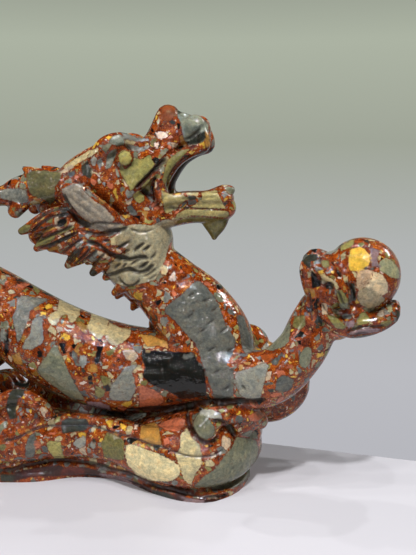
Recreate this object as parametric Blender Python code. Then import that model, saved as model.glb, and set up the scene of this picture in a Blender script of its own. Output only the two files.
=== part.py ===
"""A dragon on a cloud base, carved from one block of polished breccia.

The dragon faces +X with its jaws open, and holds a pearl out in front of it. +Z is up, -Y is the side that
is usually looked at, and the origin is on the underside, at the middle of the base. It is one solid.
"""

import math

import bmesh
import bpy
import numpy as np
from mathutils import Matrix, Vector

# Driving dimensions, in metres
HEIGHT = 0.301
PLINTH_HEIGHT = 0.006
PEARL_RADIUS = 0.0285
EYE_RADIUS = 0.0062

# The figure is drawn 301 units high, so its pose and proportions are shares of HEIGHT.
DRAWN_HEIGHT = 301.0
UNIT = HEIGHT / DRAWN_HEIGHT

# How finely the forms are made and fused, in drawn units
RING_STEP = 5.0
SIDES = 20
VOXEL = 1.7
SMOOTHING_STEPS = 4
FLOOR_ALLOWANCE = 8.0
TRIANGLES = 9500
FINE_WEIGHT = 6e-4

NEAR, FAR = -1, 1


def smooth_rows(rows, step):
    """Rows of numbers joined by a Catmull-Rom curve. The first three columns are a place, spaced by step."""
    rows = np.asarray(rows, float)
    if len(rows) < 3:
        rows = np.array([rows[0], (rows[0] + rows[-1]) / 2, rows[-1]])
    padded = np.vstack([2 * rows[0] - rows[1], rows, 2 * rows[-1] - rows[-2]])
    made = []
    for before, start, end, after in zip(padded, padded[1:], padded[2:], padded[3:]):
        count = max(1, round(np.linalg.norm(end[:3] - start[:3]) / step))
        for t in np.arange(count) / count:
            made.append(
                0.5
                * (
                    2 * start
                    + (end - before) * t
                    + (2 * before - 5 * start + 4 * end - after) * t * t
                    + (3 * start - before - 3 * end + after) * t**3
                )
            )
    made.append(rows[-1])
    return np.array(made)


def rounded_ends(rows):
    """Adds short rings past both ends, so that a sweep ends in a dome."""
    for end, inner in ((0, 1), (-1, -2)):
        outward = rows[end, :3] - rows[inner, :3]
        outward /= np.linalg.norm(outward)
        reach = min(rows[end, 3:5])
        caps = []
        for turn in (math.radians(a) for a in (30, 55, 75)):
            cap = rows[end].copy()
            cap[:3] += outward * reach * math.sin(turn)
            cap[3:5] *= math.cos(turn)
            caps.append(cap)
        rows = np.vstack([caps[::-1], rows]) if end == 0 else np.vstack([rows, caps])
    return rows


def sweep(bm, stations, side=(0, 1, 0), power=2.0, step=RING_STEP, sides=SIDES):
    """A closed tube through stations (x, y, z, half width across side, half width the other way).

    Its section is an ellipse, or nearer to a rounded box where power is over 2.
    """
    rows = smooth_rows(stations, step)
    rows[:, 3:5] = np.maximum(rows[:, 3:5], 0.4)
    rows = rounded_ends(rows)
    along = np.gradient(rows[:, :3], axis=0)
    across = Vector(side)
    angles = 2 * math.pi * np.arange(sides) / sides
    section = (abs(np.cos(angles)) ** power + abs(np.sin(angles)) ** power) ** (-1 / power)
    rings = []
    for row, tangent in zip(rows, along):
        tangent = Vector(tangent).normalized()
        across = (across - tangent * across.dot(tangent)).normalized()
        other = across.cross(tangent)
        centre = Vector(row[:3])
        ring = []
        for angle, reach in zip(angles, section):
            out = across * float(row[3] * reach * math.cos(angle))
            out += other * float(row[4] * reach * math.sin(angle))
            ring.append(bm.verts.new(centre + out))
        rings.append(ring)
    for first, second in zip(rings, rings[1:]):
        for i in range(sides):
            j = (i + 1) % sides
            bm.faces.new((first[i], first[j], second[j], second[i]))
    bm.faces.new(rings[0][::-1])
    bm.faces.new(rings[-1])


def lump(bm, centre, radii, turn=0.0):
    """An ellipsoid, turned about Y by turn degrees."""
    matrix = (
        Matrix.Translation(centre)
        @ Matrix.Rotation(math.radians(turn), 4, "Y")
        @ Matrix.Diagonal((*radii, 1))
    )
    bmesh.ops.create_icosphere(bm, subdivisions=3, radius=1, matrix=matrix)


def on_side(rows, sign):
    """The rows of a form drawn with y as its distance from the middle, for the near or the far side."""
    return [(x, sign * y, z, *rest) for x, y, z, *rest in rows]


def body(bm):
    """The coil, from the chest over a hump behind to the root of the tail."""
    sweep(
        bm,
        [
            (128, 0, 100, 37, 38),
            (96, -3, 89, 35, 34),
            (60, -5, 88, 35, 36),
            (25, -6, 95, 36, 37),
            (-5, -6, 107, 35, 36),
            (-35, -4, 124, 32, 33),
            (-65, 0, 141, 30, 30),
            (-95, 4, 152, 29, 29),
            (-125, 7, 149, 28, 28),
            (-149, 8, 130, 26, 26),
            (-158, 7, 101, 24, 24),
            (-158, 5, 70, 21, 22),
            (-171, 3, 50, 18, 18),
            (-195, 2, 48, 14.5, 14.5),
            (-215, 2, 61, 12, 12),
            (-224, 2, 83, 10, 10),
            (-219, 2, 104, 8, 8),
        ],
    )


def tail_tuft(bm):
    """Flame-like locks at the tip of the tail."""
    for tip_x, tip_z, lean in ((-192, 134, 4), (-210, 146, 0), (-231, 134, -4)):
        sweep(
            bm,
            [
                (-221, 2, 92, 7, 8),
                ((tip_x - 218) / 2, 2 + lean / 2, 115, 6.5, 8),
                (tip_x, 2 + lean, tip_z, 1.4, 1.4),
            ],
        )


def neck(bm):
    """The chest and the neck, up into the back of the head."""
    sweep(
        bm,
        [
            (122, 0, 92, 36, 38),
            (123, 0, 112, 35, 39),
            (111, 0, 136, 31, 34),
            (93, 0, 155, 27, 28.5),
            (77, 0, 169, 25, 27),
            (62, 0, 184, 25, 29),
            (46, 0, 204, 24, 30),
        ],
    )
    sweep(
        bm,
        [
            (64, 0, 212, 24, 20),
            (75, 0, 198, 25.5, 20),
            (79, 0, 186, 25.5, 18),
            (84, 0, 174, 24.5, 14),
            (90, 0, 161, 20, 8),
        ],
    )


def skull(bm):
    """The head from the nape to the nose, with the brows, the nostrils, the eyes and the lips."""
    sweep(
        bm,
        [
            (0, 0, 224, 19, 17),
            (22, 0, 233, 25, 27),
            (44, 0, 240, 27, 32),
            (62, 0, 245, 26, 31),
            (76, 0, 255, 22, 22),
            (86, 0, 265, 18, 16),
            (99, 0, 276, 15, 13.5),
            (113, 0, 279, 14, 12),
        ],
    )
    # The bump that the muzzle rises to, and the nose in front of it
    sweep(bm, [(79, 0, 260, 17, 13), (88, 0, 276, 15.5, 11.5), (93.5, 0, 291, 13, 10)])
    sweep(bm, [(94, 0, 286, 13, 12), (106, 0, 283, 13.5, 11), (116, 0, 280, 13.5, 11.5)])
    lump(bm, (116, 0, 274), (11, 13, 11))
    lump(bm, (63, 0, 227), (26, 25, 22))
    for sign in (NEAR, FAR):
        lump(bm, (116, sign * 9.5, 284), (9, 7.5, 8.5), -20)
        # The brow, a leaf that rises from the temple to the root of the muzzle
        sweep(
            bm,
            on_side(
                [
                    (38, 22, 258, 4, 5),
                    (49, 22, 268, 6, 8),
                    (60, 18, 272.5, 6, 7),
                    (72, 13, 270, 5, 5),
                    (80, 11, 272, 4, 4),
                ],
                sign,
            ),
        )
        lump(bm, (63.5, sign * 19, 257), (11.5, 8, 8.5), -30)
        lump(bm, (64.5, sign * 23.5, 258.5), (EYE_RADIUS / UNIT,) * 3)
        # The ridge of the cheek, and the lip from the nose round the corner of the mouth
        sweep(
            bm,
            on_side(
                [
                    (98, 15, 268, 3.5, 5),
                    (88, 19, 256, 4.5, 6),
                    (76, 22.5, 243, 5, 6.5),
                    (66, 24.5, 231, 3.5, 4),
                ],
                sign,
            ),
        )
        sweep(
            bm,
            on_side(
                [
                    (120, 9, 282, 6, 5),
                    (124, 10, 274, 6, 4.5),
                    (123.5, 10.5, 267.5, 5.5, 4.2),
                    (114, 11.5, 265, 6.5, 4.8),
                    (102.5, 12.5, 258, 7.5, 5.2),
                    (93.5, 13.5, 246, 8, 5.5),
                    (90, 14, 235, 8, 5.5),
                    (93, 14, 227, 8, 6),
                ],
                sign,
            ),
        )


def jaw(bm):
    """The lower jaw, with its lips, the tip of the tongue and the tuft on the chin."""
    sweep(
        bm,
        [
            (70, 0, 216, 22, 17),
            (92, 0, 218, 17, 14),
            (110, 0, 219.5, 14, 11.5),
            (128, 0, 220, 13, 11),
            (138, 0, 221, 11, 9.5),
        ],
        power=2.4,
    )
    sweep(
        bm,
        [
            (104, 0, 229, 7, 4),
            (124, 0, 230.5, 7, 4),
            (137, 0, 234.5, 6.5, 4.5),
            (142.5, 0, 234.5, 5, 4),
        ],
    )
    for sign in (NEAR, FAR):
        sweep(
            bm,
            on_side(
                [
                    (94, 17.5, 228, 3.5, 4),
                    (110, 14, 229.5, 2.8, 4),
                    (128, 12.5, 229.5, 2.8, 4),
                    (140, 8, 229, 3.5, 4),
                    (141.5, 2, 228, 4, 4),
                ],
                sign,
            ),
        )
    sweep(
        bm,
        [
            (130, 0, 217, 9, 14),
            (130.5, 0, 206, 6, 9),
            (130, 0, 197.5, 2.5, 2.5),
        ],
    )


def horns_and_ears(bm):
    for sign in (NEAR, FAR):
        # A horn that flares, with a prong above and a knob below, and runs back to a point
        sweep(
            bm,
            on_side(
                [
                    (30, 14, 244, 8, 9),
                    (10, 17, 238, 8, 11.5),
                    (-8, 19, 236, 8, 13),
                    (-24, 20, 233, 7.5, 12),
                    (-38, 21, 229.5, 7, 8),
                    (-56, 21, 228, 6.5, 7),
                    (-78, 20, 231, 4.5, 5),
                    (-94, 18, 237, 1.5, 1.5),
                ],
                sign,
            ),
        )
        sweep(
            bm,
            on_side(
                [
                    (2, 19, 238, 6.5, 10.5),
                    (-10, 19.5, 245.5, 5.5, 7.5),
                    (-19, 20, 251.5, 1.8, 2),
                ],
                sign,
            ),
        )
        sweep(
            bm,
            on_side([(-24, 20.5, 224, 6.5, 9), (-28, 20.5, 217, 5, 6)], sign),
        )
        # A leaf-shaped ear
        sweep(
            bm,
            on_side(
                [
                    (65, 24, 205.5, 5, 5),
                    (54, 29, 212.5, 5, 8.5),
                    (42, 33, 220.5, 4.5, 10.5),
                    (32, 35.5, 228, 4, 11),
                    (25, 37, 233.5, 3.5, 9),
                    (19.5, 38, 238, 2.2, 4),
                ],
                sign,
            ),
        )


# Each lock of the mane on one side: root, middle and tip as (x, y, z), and its half width
LOCKS = [
    ((32, 24, 220), (5, 27, 212), (-23, 20, 201.5), 8.5),
    ((36, 25, 211), (14, 28, 202), (-11, 19, 188), 9.5),
    ((42, 26, 206), (22, 28, 194), (0, 18, 188), 9.5),
    ((48, 26, 204), (32, 28, 189), (14, 17, 174.5), 9.5),
    ((57, 26, 203), (45, 28, 189), (31, 18, 178), 9),
    ((66, 22, 202), (54, 24, 187), (34, 15, 168.5), 8),
    ((86, 17.5, 188), (67, 20.5, 179), (44, 13, 165), 7.5),
    ((80, 18, 173), (67, 19, 165), (51, 12, 152.5), 7.5),
]


def mane(bm):
    """Locks that sweep back and down from the cheek on each side, filled in behind."""
    sweep(
        bm,
        [
            (40, 0, 212, 22, 22),
            (10, 0, 204, 19, 19),
            (-14, 0, 198, 13, 11),
        ],
    )
    for sign in (NEAR, FAR):
        for root, middle, tip, half in LOCKS:
            sweep(
                bm,
                on_side(
                    [
                        (*root, 5, half * 0.8),
                        (*middle, 6, half),
                        (*tip, 3, 3.2),
                    ],
                    sign,
                ),
            )


# The tips of the fins down the back of the neck
FIN_TIPS = [(49.5, 147), (62.5, 138), (78, 125)]


def fins(bm):
    """A ridge with small fins down the back of the neck, to where it meets the coil."""
    sweep(
        bm,
        [
            (40, 0, 184, 15, 12),
            (53, 0, 169, 14, 12),
            (60, 0, 158, 12, 10),
            (67, 0, 150, 10, 9),
            (78, 0, 143, 8, 9),
            (90, 0, 134, 8, 9),
        ],
    )
    for x, z in FIN_TIPS:
        sweep(
            bm,
            [
                (x + 13, 0, z + 12, 6, 8),
                (x + 4, 0, z + 5.5, 4, 6),
                (x, 0, z, 2.5, 2.5),
            ],
        )


def near_arm(bm):
    """The arm that holds the pearl out, up to the palm."""
    sweep(
        bm,
        [
            (108, -6, 94, 28, 32),
            (132, -14, 91, 27, 30),
            (158, -19, 88, 24, 25),
            (181, -20, 93, 21, 21.5),
            (200, -18, 112, 19, 19.5),
            (210, -16, 132, 18, 19),
            (217, -14, 146, 17, 18),
        ],
    )


def pearl_and_claws(bm):
    """The pearl, the palm under it and the four fingers that grip it."""
    x, mid, z = 246, -14, 172.5
    lump(bm, (x, mid, z), (PEARL_RADIUS / UNIT,) * 3)
    lump(bm, (x - 22, mid, z - 13), (17, 18, 20))
    lump(bm, (x - 6, mid, z - 24), (22, 17, 14))
    lump(bm, (x - 20, mid, z + 7.5), (14, 22, 10.5))
    lump(bm, (x - 19, mid, z - 39), (14, 15, 12))
    for sign in (NEAR, FAR):
        fingers = (
            [
                (-28, 8, -22, 10, 10),
                (-35.5, 12, -7, 8, 9),
                (-37, 14.5, 7.5, 8.5, 9.5),
                (-30, 20, 8, 7.5, 7.5),
                (-22, 25.5, 2.5, 6.5, 6.5),
                (-15.5, 28, -7, 5, 5),
                (-13, 27.5, -18, 3.5, 4),
            ],
            [
                (-22, 10, -32, 11, 11),
                (-6, 14, -37, 9.5, 9),
                (10, 13, -34, 8.5, 8),
                (21, 8, -28, 7.5, 7.5),
                (24, 5, -24, 5, 5),
            ],
        )
        palm_edge = [(-33, 16, -15, 5, 6), (-28, 19, -25, 5, 5), (-18, 21, -32, 5, 5), (3, 14, -31, 3, 4)]
        for finger in (*fingers, palm_edge):
            sweep(bm, [(x + a, mid + sign * b, z + c, *half) for a, b, c, *half in finger])
        lump(bm, (x - 23, mid + sign * 11, z - 10), (14, 16.5, 17))
        lump(bm, (x - 19, mid + sign * 13, z + 6), (12, 11, 9))
        lump(bm, (x - 7, mid + sign * 13, z - 26), (13, 10, 8))
        lump(bm, (x - 10, mid + sign * 8, z - 37), (22, 13, 9))


def far_arm(bm):
    """The other arm: its shoulder shows over the near arm, and its paw rests on the base."""
    lump(bm, (153, 33, 102), (19, 17, 19))
    sweep(
        bm,
        [
            (128, 14, 88, 24, 25),
            (160, 32, 88, 20, 21),
            (184, 37, 72, 19, 22),
            (176, 38, 54, 17, 18),
            (152, 38, 48, 15, 14),
        ],
    )


def hind_legs(bm):
    """Both hind legs, folded beside the coil with their feet on the base."""
    for sign in (NEAR, FAR):
        sweep(
            bm,
            on_side(
                [
                    (-128, 18, 138, 14, 20),
                    (-108, 28, 126, 15, 25),
                    (-86, 36, 108, 14, 22),
                    (-76, 41, 90, 12, 15),
                    (-92, 43, 74, 10.5, 12),
                    (-108, 43, 64, 10, 11),
                    (-96, 43, 57, 11, 9.5),
                    (-74, 43, 55, 11, 8.5),
                ],
                sign,
            ),
        )
        for spread in (-9, 0, 9):
            sweep(
                bm,
                on_side(
                    [
                        (-84, 43 + spread * 0.6, 57, 6, 7),
                        (-68, 43 + spread, 59, 5.5, 7),
                        (-57, 43 + spread * 1.2, 52, 2.2, 3),
                    ],
                    sign,
                ),
            )


# The rolled side of the cloud base: x, distance from the middle, z, half width, half height
ROLL = [
    (-154, 0, 32, 14, 17),
    (-150, 20, 32, 15, 18),
    (-139, 34, 33, 16, 20),
    (-118, 41, 34, 17, 22),
    (-85, 43, 35, 17, 22),
    (-50, 42, 35, 16, 21),
    (-22, 39, 36, 14.5, 19.5),
    (5, 32, 37, 13, 18.5),
    (30, 27, 37, 12.5, 18),
    (56, 29, 35, 13, 18),
    (82, 38, 31, 15, 20),
    (104, 43, 30, 17, 23.5),
    (124, 42, 31, 18, 25),
    (141, 32, 35, 17, 27),
    (150, 16, 40, 14, 28),
    (153, 0, 42, 13, 28),
]

# The curls on it, one at the front and one further back, drawn the same way
FRONT_CURL = [
    (168, 16, 55, 9, 8),
    (160, 29, 62, 9, 8),
    (150, 38, 66.5, 9, 8),
    (140, 43, 66, 10, 8),
    (133, 45.5, 60.5, 11, 9.5),
    (131, 46.5, 53, 11, 10),
    (131.5, 47, 47, 9, 8),
]
BACK_CURL = [
    (3, 36, 48, 6, 6),
    (0, 41, 61, 6, 6),
    (-12, 44, 71, 6, 6),
    (-28, 45, 71, 6.5, 6),
    (-40, 44, 62, 6.5, 6),
    (-47, 43, 50, 6, 6),
]


def cloud_base(bm):
    """A rounded cloud: a low core inside a rolled side, with curls on top of it."""
    sweep(
        bm,
        [
            (-136, 0, 26, 34, 20),
            (-106, 0, 28, 44, 23),
            (-60, 0, 28, 44, 22),
            (-20, 0, 26, 40, 19),
            (10, 0, 24, 32, 18),
            (40, 0, 24, 28, 18),
            (75, 0, 28, 36, 22),
            (108, 0, 34, 44, 28),
            (136, 0, 40, 34, 34),
        ],
        power=2.6,
    )
    foot = [(x, middle, 10.5, half - 11, 7) for x, middle, _, half, _ in ROLL]
    for sign in (NEAR, FAR):
        sweep(bm, on_side(ROLL, sign), side=(1, 0, 0), power=2.3)
        sweep(bm, on_side(foot, sign), side=(1, 0, 0), power=2.6)
        sweep(bm, on_side(FRONT_CURL, sign))
        lump(bm, (150, sign * 20, 57), (20, 20, 16))
        sweep(bm, on_side(BACK_CURL, sign))
        lump(bm, (-21, sign * 40, 55), (17, 10.5, 14))


# The plinth's outline on one side, from the back to the front
PLINTH = [
    (-160, 0),
    (-147, 34),
    (-116, 49),
    (-80, 51),
    (-36, 47),
    (-8, 41),
    (14, 29),
    (36, 24),
    (62, 29),
    (92, 48),
    (118, 57),
    (139, 53),
    (155, 31),
    (160, 0),
]


def plinth(bm):
    """The foot of the base: a thin plate with a wavy edge that stands on the table."""
    near = smooth_rows([(x, -y, 0.0) for x, y in PLINTH], 8.0)
    outline = list(near) + [(x, -y, z) for x, y, z in near[-2:0:-1]]
    bottom = [bm.verts.new((x, y, -FLOOR_ALLOWANCE)) for x, y, _ in outline]
    face = bm.faces.new(bottom)
    risen = bmesh.ops.extrude_face_region(bm, geom=[face])["geom"]
    lifted = [v for v in risen if isinstance(v, bmesh.types.BMVert)]
    height = PLINTH_HEIGHT / UNIT + FLOOR_ALLOWANCE
    bmesh.ops.translate(bm, verts=lifted, vec=(0, 0, height))


FORMS = (
    body,
    tail_tuft,
    neck,
    skull,
    jaw,
    horns_and_ears,
    mane,
    fins,
    near_arm,
    pearl_and_claws,
    far_arm,
    hind_legs,
    cloud_base,
    plinth,
)


def joined_forms():
    """Every form as one mesh of overlapping closed shapes, at its real size."""
    bm = bmesh.new()
    for form in FORMS:
        form(bm)
    bmesh.ops.recalc_face_normals(bm, faces=bm.faces)
    bmesh.ops.scale(bm, vec=(UNIT,) * 3, verts=bm.verts)
    mesh = bpy.data.meshes.new("forms")
    bm.to_mesh(mesh)
    bm.free()
    return mesh


def stone():
    """Plain polished breccia: the red-brown ground that the eye takes from the whole."""
    material = bpy.data.materials.new("breccia")
    material.use_nodes = True
    shader = material.node_tree.nodes["Principled BSDF"]
    shader.inputs["Base Color"].default_value = (0.30, 0.12, 0.05, 1)
    shader.inputs["Roughness"].default_value = 0.15
    shader.inputs["Metallic"].default_value = 0.0
    return material


def evaluated_copy(obj, name):
    """A mesh of obj as its modifiers leave it."""
    graph = bpy.context.evaluated_depsgraph_get()
    graph.update()
    mesh = bpy.data.meshes.new_from_object(obj.evaluated_get(graph))
    mesh.name = name
    return mesh


def floor_cutter():
    """A block under the floor plane, which cuts the underside flat."""
    bm = bmesh.new()
    size = (2 * HEIGHT, HEIGHT, 4 * FLOOR_ALLOWANCE * UNIT)
    matrix = Matrix.Translation((0, 0, -size[2] / 2)) @ Matrix.Diagonal((*size, 1))
    bmesh.ops.create_cube(bm, size=1, matrix=matrix)
    mesh = bpy.data.meshes.new("floor_cutter")
    bm.to_mesh(mesh)
    bm.free()
    cutter = bpy.data.objects.new("floor_cutter", mesh)
    bpy.context.scene.collection.objects.link(cutter)
    cutter.hide_render = True
    cutter.display_type = "WIRE"
    return cutter


def fused_dragon():
    """The forms fused into one surface, smoothed where they run together, and thinned out."""
    rough = bpy.data.objects.new("rough", joined_forms())
    bpy.context.scene.collection.objects.link(rough)
    fuse = rough.modifiers.new("fuse", "REMESH")
    fuse.mode = "VOXEL"
    fuse.voxel_size = VOXEL * UNIT
    soften = rough.modifiers.new("soften", "SMOOTH")
    soften.factor = 0.5
    soften.iterations = SMOOTHING_STEPS
    mesh = evaluated_copy(rough, "dragon")
    bpy.data.objects.remove(rough)

    dragon = bpy.data.objects.new("dragon", mesh)
    bpy.context.scene.collection.objects.link(dragon)
    # The head and the hand keep a little more of their surface than the rest
    fine = dragon.vertex_groups.new(name="fine")
    for vertex in mesh.vertices:
        x, _, z = vertex.co / UNIT
        if z > 150 and (x > 195 or -60 < x < 160):
            fine.add([vertex.index], 0.9, "REPLACE")
    thin = dragon.modifiers.new("thin", "DECIMATE")
    thin.decimate_type = "COLLAPSE"
    thin.ratio = TRIANGLES / (2 * len(mesh.polygons))
    thin.use_collapse_triangulate = True
    thin.vertex_group = fine.name
    thin.invert_vertex_group = True
    thin.vertex_group_factor = FINE_WEIGHT
    cut = dragon.modifiers.new("flat_underside", "BOOLEAN")
    cut.operation = "DIFFERENCE"
    cut.solver = "EXACT"
    cut.object = floor_cutter()
    return dragon


def main():
    for old in list(bpy.data.objects):
        bpy.data.objects.remove(old)
    dragon = fused_dragon()
    dragon.data.materials.append(stone())


main()
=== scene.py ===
"""A dragon on a cloud base, carved from one block of polished breccia, as it is photographed.

The forms are the CAD's own at a finer grain, with the carved lines cut into them. The stone's
larger fragments on the side that the photograph shows are laid out by its view, and the rest is
procedural.
"""

import math

import bmesh
import bpy
import numpy as np
from mathutils import Matrix, Vector
from mathutils.bvhtree import BVHTree
from mathutils.kdtree import KDTree


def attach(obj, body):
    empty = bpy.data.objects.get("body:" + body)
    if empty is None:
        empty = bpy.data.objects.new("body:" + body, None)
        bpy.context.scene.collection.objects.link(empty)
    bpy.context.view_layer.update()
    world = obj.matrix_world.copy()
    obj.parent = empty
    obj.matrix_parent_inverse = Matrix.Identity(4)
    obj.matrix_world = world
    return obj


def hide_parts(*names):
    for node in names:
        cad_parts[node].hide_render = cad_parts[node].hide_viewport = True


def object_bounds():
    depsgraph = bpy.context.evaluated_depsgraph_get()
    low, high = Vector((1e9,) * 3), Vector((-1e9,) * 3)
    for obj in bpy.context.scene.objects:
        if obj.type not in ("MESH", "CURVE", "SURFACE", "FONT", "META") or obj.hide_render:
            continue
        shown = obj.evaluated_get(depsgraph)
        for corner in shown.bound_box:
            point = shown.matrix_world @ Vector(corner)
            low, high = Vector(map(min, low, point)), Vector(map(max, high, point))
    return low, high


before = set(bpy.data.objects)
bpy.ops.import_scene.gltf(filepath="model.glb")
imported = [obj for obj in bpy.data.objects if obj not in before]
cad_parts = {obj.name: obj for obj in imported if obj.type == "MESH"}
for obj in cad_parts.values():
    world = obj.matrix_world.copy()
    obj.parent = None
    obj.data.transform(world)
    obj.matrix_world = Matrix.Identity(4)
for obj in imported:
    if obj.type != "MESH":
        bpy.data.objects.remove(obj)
CAD_BOX = [list(corner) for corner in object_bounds()]

# Driving dimensions, in metres, as in the CAD
HEIGHT = 0.301
PLINTH_HEIGHT = 0.006
PEARL_RADIUS = 0.0285
EYE_RADIUS = 0.0062

# The figure is drawn 301 units high, and lengths are in drawn units where nothing else is said
DRAWN_HEIGHT = 301.0
UNIT = HEIGHT / DRAWN_HEIGHT

# How finely the forms are made and fused: the steps between rings, their sides, the angles in
# degrees of the rings in a rounded end, and so on
RING_STEP = 2.5
SIDES = 40
CAP_ANGLES = (30, 55, 75)
LEAST_HALF_WIDTH = 0.4
LUMP_STEPS = 4
PLINTH_STEP = 8.0
FLOOR_ALLOWANCE = 8.0
VOXEL = 0.95
SMOOTHING = 0.5
SMOOTHING_STEPS = 4

# How far the fused forms are thinned. What the photograph shows keeps evenly small faces, so that
# the stone's pattern is sharp there: how openly it has to show, and its weight and their factor.
TRIANGLES = 190_000
KEPT_SHOWS = 0.3
KEPT_WEIGHT = 0.9
KEPT_FACTOR = 0.02

NEAR, FAR = -1, 1

# The view of the photograph: its size and its focal length in pixels, where it looks from in drawn
# units, and its direction in degrees
PHOTO_WIDTH, PHOTO_HEIGHT = 416, 555
FOCAL = 800.0
AIM = np.array([125.0, 0.0, 165.0])
CAMERA_DISTANCE = 640.0
AZIMUTH, ELEVATION = math.radians(10), math.radians(9)
SENSOR_MM = 36.0
CLIPPING_M = (0.05, 20.0)

# What counts as shown: how much farther a point may lie than the surface in front of it, how far
# that is spread, and between which values it and the facing rise from not shown to shown
HIDDEN_BEHIND = 1.5
SHOWN_SPREAD = 3
SHOWN_RISE = (0.35, 0.9)
FACING_RISE = (0.02, 0.25)

# The cut lines: their step and the taper at their ends in pixels, their reach in half widths, how
# far in depth they hold, and from what depth they count as a recess
CUT_STEP = 3.0
CUT_TAPER = 8.0
TAPER_RISE = (-0.15, 0.9)
CUT_REACH = 3
SAME_SURFACE = 14
CUT_RECESS = (0.25, 1.7)
FOLD_SPREAD = 6
FOLD_RECESS = (0.12, 0.75)

# How open the surface is: rays from each vertex, how far off they start, how far they look, the
# reach that would count as open, and how far the result is spread
OPEN_RAYS = 10
OPEN_START = 0.5
OPEN_REACH = 60.0
OPEN_FULL = 90.0
OPEN_SPREAD = 5
OPEN_SEED = 7

# The laid-out fragments: the distance that stands for none near, how openly a place has to show,
# the margin round a fragment in pixels, how far in depth it holds for its size, the columns over
# which they end at the photograph's left edge, and the step between their random numbers
NO_FRAGMENT = 50.0
FRAGMENT_SHOWS = 0.01
FRAGMENT_MARGIN = 6
DEPTH_BY_SIZE = 0.9
LEFT_EDGE = (-9, 5)
GOLDEN_SHARE = 0.618


class View:
    """The photograph's camera, or its mirror image in the figure's middle plane."""

    def __init__(self, mirrored=False):
        sa, ca = math.sin(AZIMUTH), math.cos(AZIMUTH)
        se, ce = math.sin(ELEVATION), math.cos(ELEVATION)
        self.forward = np.array([-sa * ce, ca * ce, -se])
        self.right = np.array([ca, sa, 0.0])
        self.up = np.array([-sa * se, ca * se, ce])
        self.place = AIM - CAMERA_DISTANCE * self.forward
        if mirrored:
            for axis in (self.forward, self.right, self.up, self.place):
                axis[1] *= -1

    def project(self, points):
        """Pixel columns and rows, and depths, of points."""
        away = points - self.place
        depth = away @ self.forward
        across = PHOTO_WIDTH / 2 + FOCAL * (away @ self.right) / depth
        down = PHOTO_HEIGHT / 2 - FOCAL * (away @ self.up) / depth
        return np.stack([across, down], axis=1), depth

    def ray(self, pixel):
        """The direction through a pixel, one unit deep."""
        across = (pixel[0] - PHOTO_WIDTH / 2) / FOCAL
        rise = (PHOTO_HEIGHT / 2 - pixel[1]) / FOCAL
        return self.forward + across * self.right + rise * self.up


PHOTO = View()
MIRROR = View(mirrored=True)


def smooth_rows(rows, step):
    """Rows of numbers joined by a Catmull-Rom curve, whose places are about a step apart.

    The first three columns are the place.
    """
    rows = np.asarray(rows, float)
    if len(rows) < 3:
        rows = np.array([rows[0], (rows[0] + rows[-1]) / 2, rows[-1]])
    padded = np.vstack([2 * rows[0] - rows[1], rows, 2 * rows[-1] - rows[-2]])
    made = []
    for before, start, end, after in zip(padded, padded[1:], padded[2:], padded[3:]):
        count = max(1, round(np.linalg.norm(end[:3] - start[:3]) / step))
        square = 2 * before - 5 * start + 4 * end - after
        cubic = 3 * start - before - 3 * end + after
        for t in np.arange(count) / count:
            made.append(0.5 * (2 * start + (end - before) * t + square * t * t + cubic * t**3))
    made.append(rows[-1])
    return np.array(made)


def rounded_ends(rows):
    """Adds short rings past both ends, so that a sweep ends in a dome."""
    for end, inner in ((0, 1), (-1, -2)):
        outward = rows[end, :3] - rows[inner, :3]
        outward /= np.linalg.norm(outward)
        reach = min(rows[end, 3:5])
        caps = []
        for turn in map(math.radians, CAP_ANGLES):
            cap = rows[end].copy()
            cap[:3] += outward * reach * math.sin(turn)
            cap[3:5] *= math.cos(turn)
            caps.append(cap)
        rows = np.vstack([caps[::-1], rows]) if end == 0 else np.vstack([rows, caps])
    return rows


def sweep(bm, stations, side=(0, 1, 0), power=2.0):
    """A closed tube through stations (x, y, z, half width across side, half width the other way).

    Its section is an ellipse, or nearer to a rounded box where power is over 2.
    """
    rows = smooth_rows(stations, RING_STEP)
    rows[:, 3:5] = np.maximum(rows[:, 3:5], LEAST_HALF_WIDTH)
    rows = rounded_ends(rows)
    along = np.gradient(rows[:, :3], axis=0)
    across = Vector(side)
    angles = 2 * math.pi * np.arange(SIDES) / SIDES
    section = (abs(np.cos(angles)) ** power + abs(np.sin(angles)) ** power) ** (-1 / power)
    rings = []
    for row, tangent in zip(rows, along):
        tangent = Vector(tangent).normalized()
        across = (across - tangent * across.dot(tangent)).normalized()
        other = across.cross(tangent)
        ring = []
        for angle, reach in zip(angles, section):
            out = across * float(row[3] * reach * math.cos(angle))
            out += other * float(row[4] * reach * math.sin(angle))
            ring.append(bm.verts.new(Vector(row[:3]) + out))
        rings.append(ring)
    for first, second in zip(rings, rings[1:]):
        for i in range(SIDES):
            j = (i + 1) % SIDES
            bm.faces.new((first[i], first[j], second[j], second[i]))
    bm.faces.new(rings[0][::-1])
    bm.faces.new(rings[-1])


def sweep_side(bm, sign, stations, **options):
    """A tube on the near or the far side, drawn with y as its distance from the middle."""
    sweep(bm, [(x, sign * y, z, *half) for x, y, z, *half in stations], **options)


def written(text):
    """Rows of numbers, written as 'x y z half half, x y z half half, ...'."""
    return [tuple(float(number) for number in row.split()) for row in text.split(",")]


def tube(bm, text, sign=1, **options):
    """A tube through written stations, in the middle or on one side."""
    sweep_side(bm, sign, written(text), **options)


def lump(bm, centre, radii, turn=0.0):
    """An ellipsoid, turned about Y by turn degrees."""
    turned = Matrix.Translation(centre) @ Matrix.Rotation(math.radians(turn), 4, "Y")
    matrix = turned @ Matrix.Diagonal((*radii, 1))
    bmesh.ops.create_icosphere(bm, subdivisions=LUMP_STEPS, radius=1, matrix=matrix)


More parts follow.
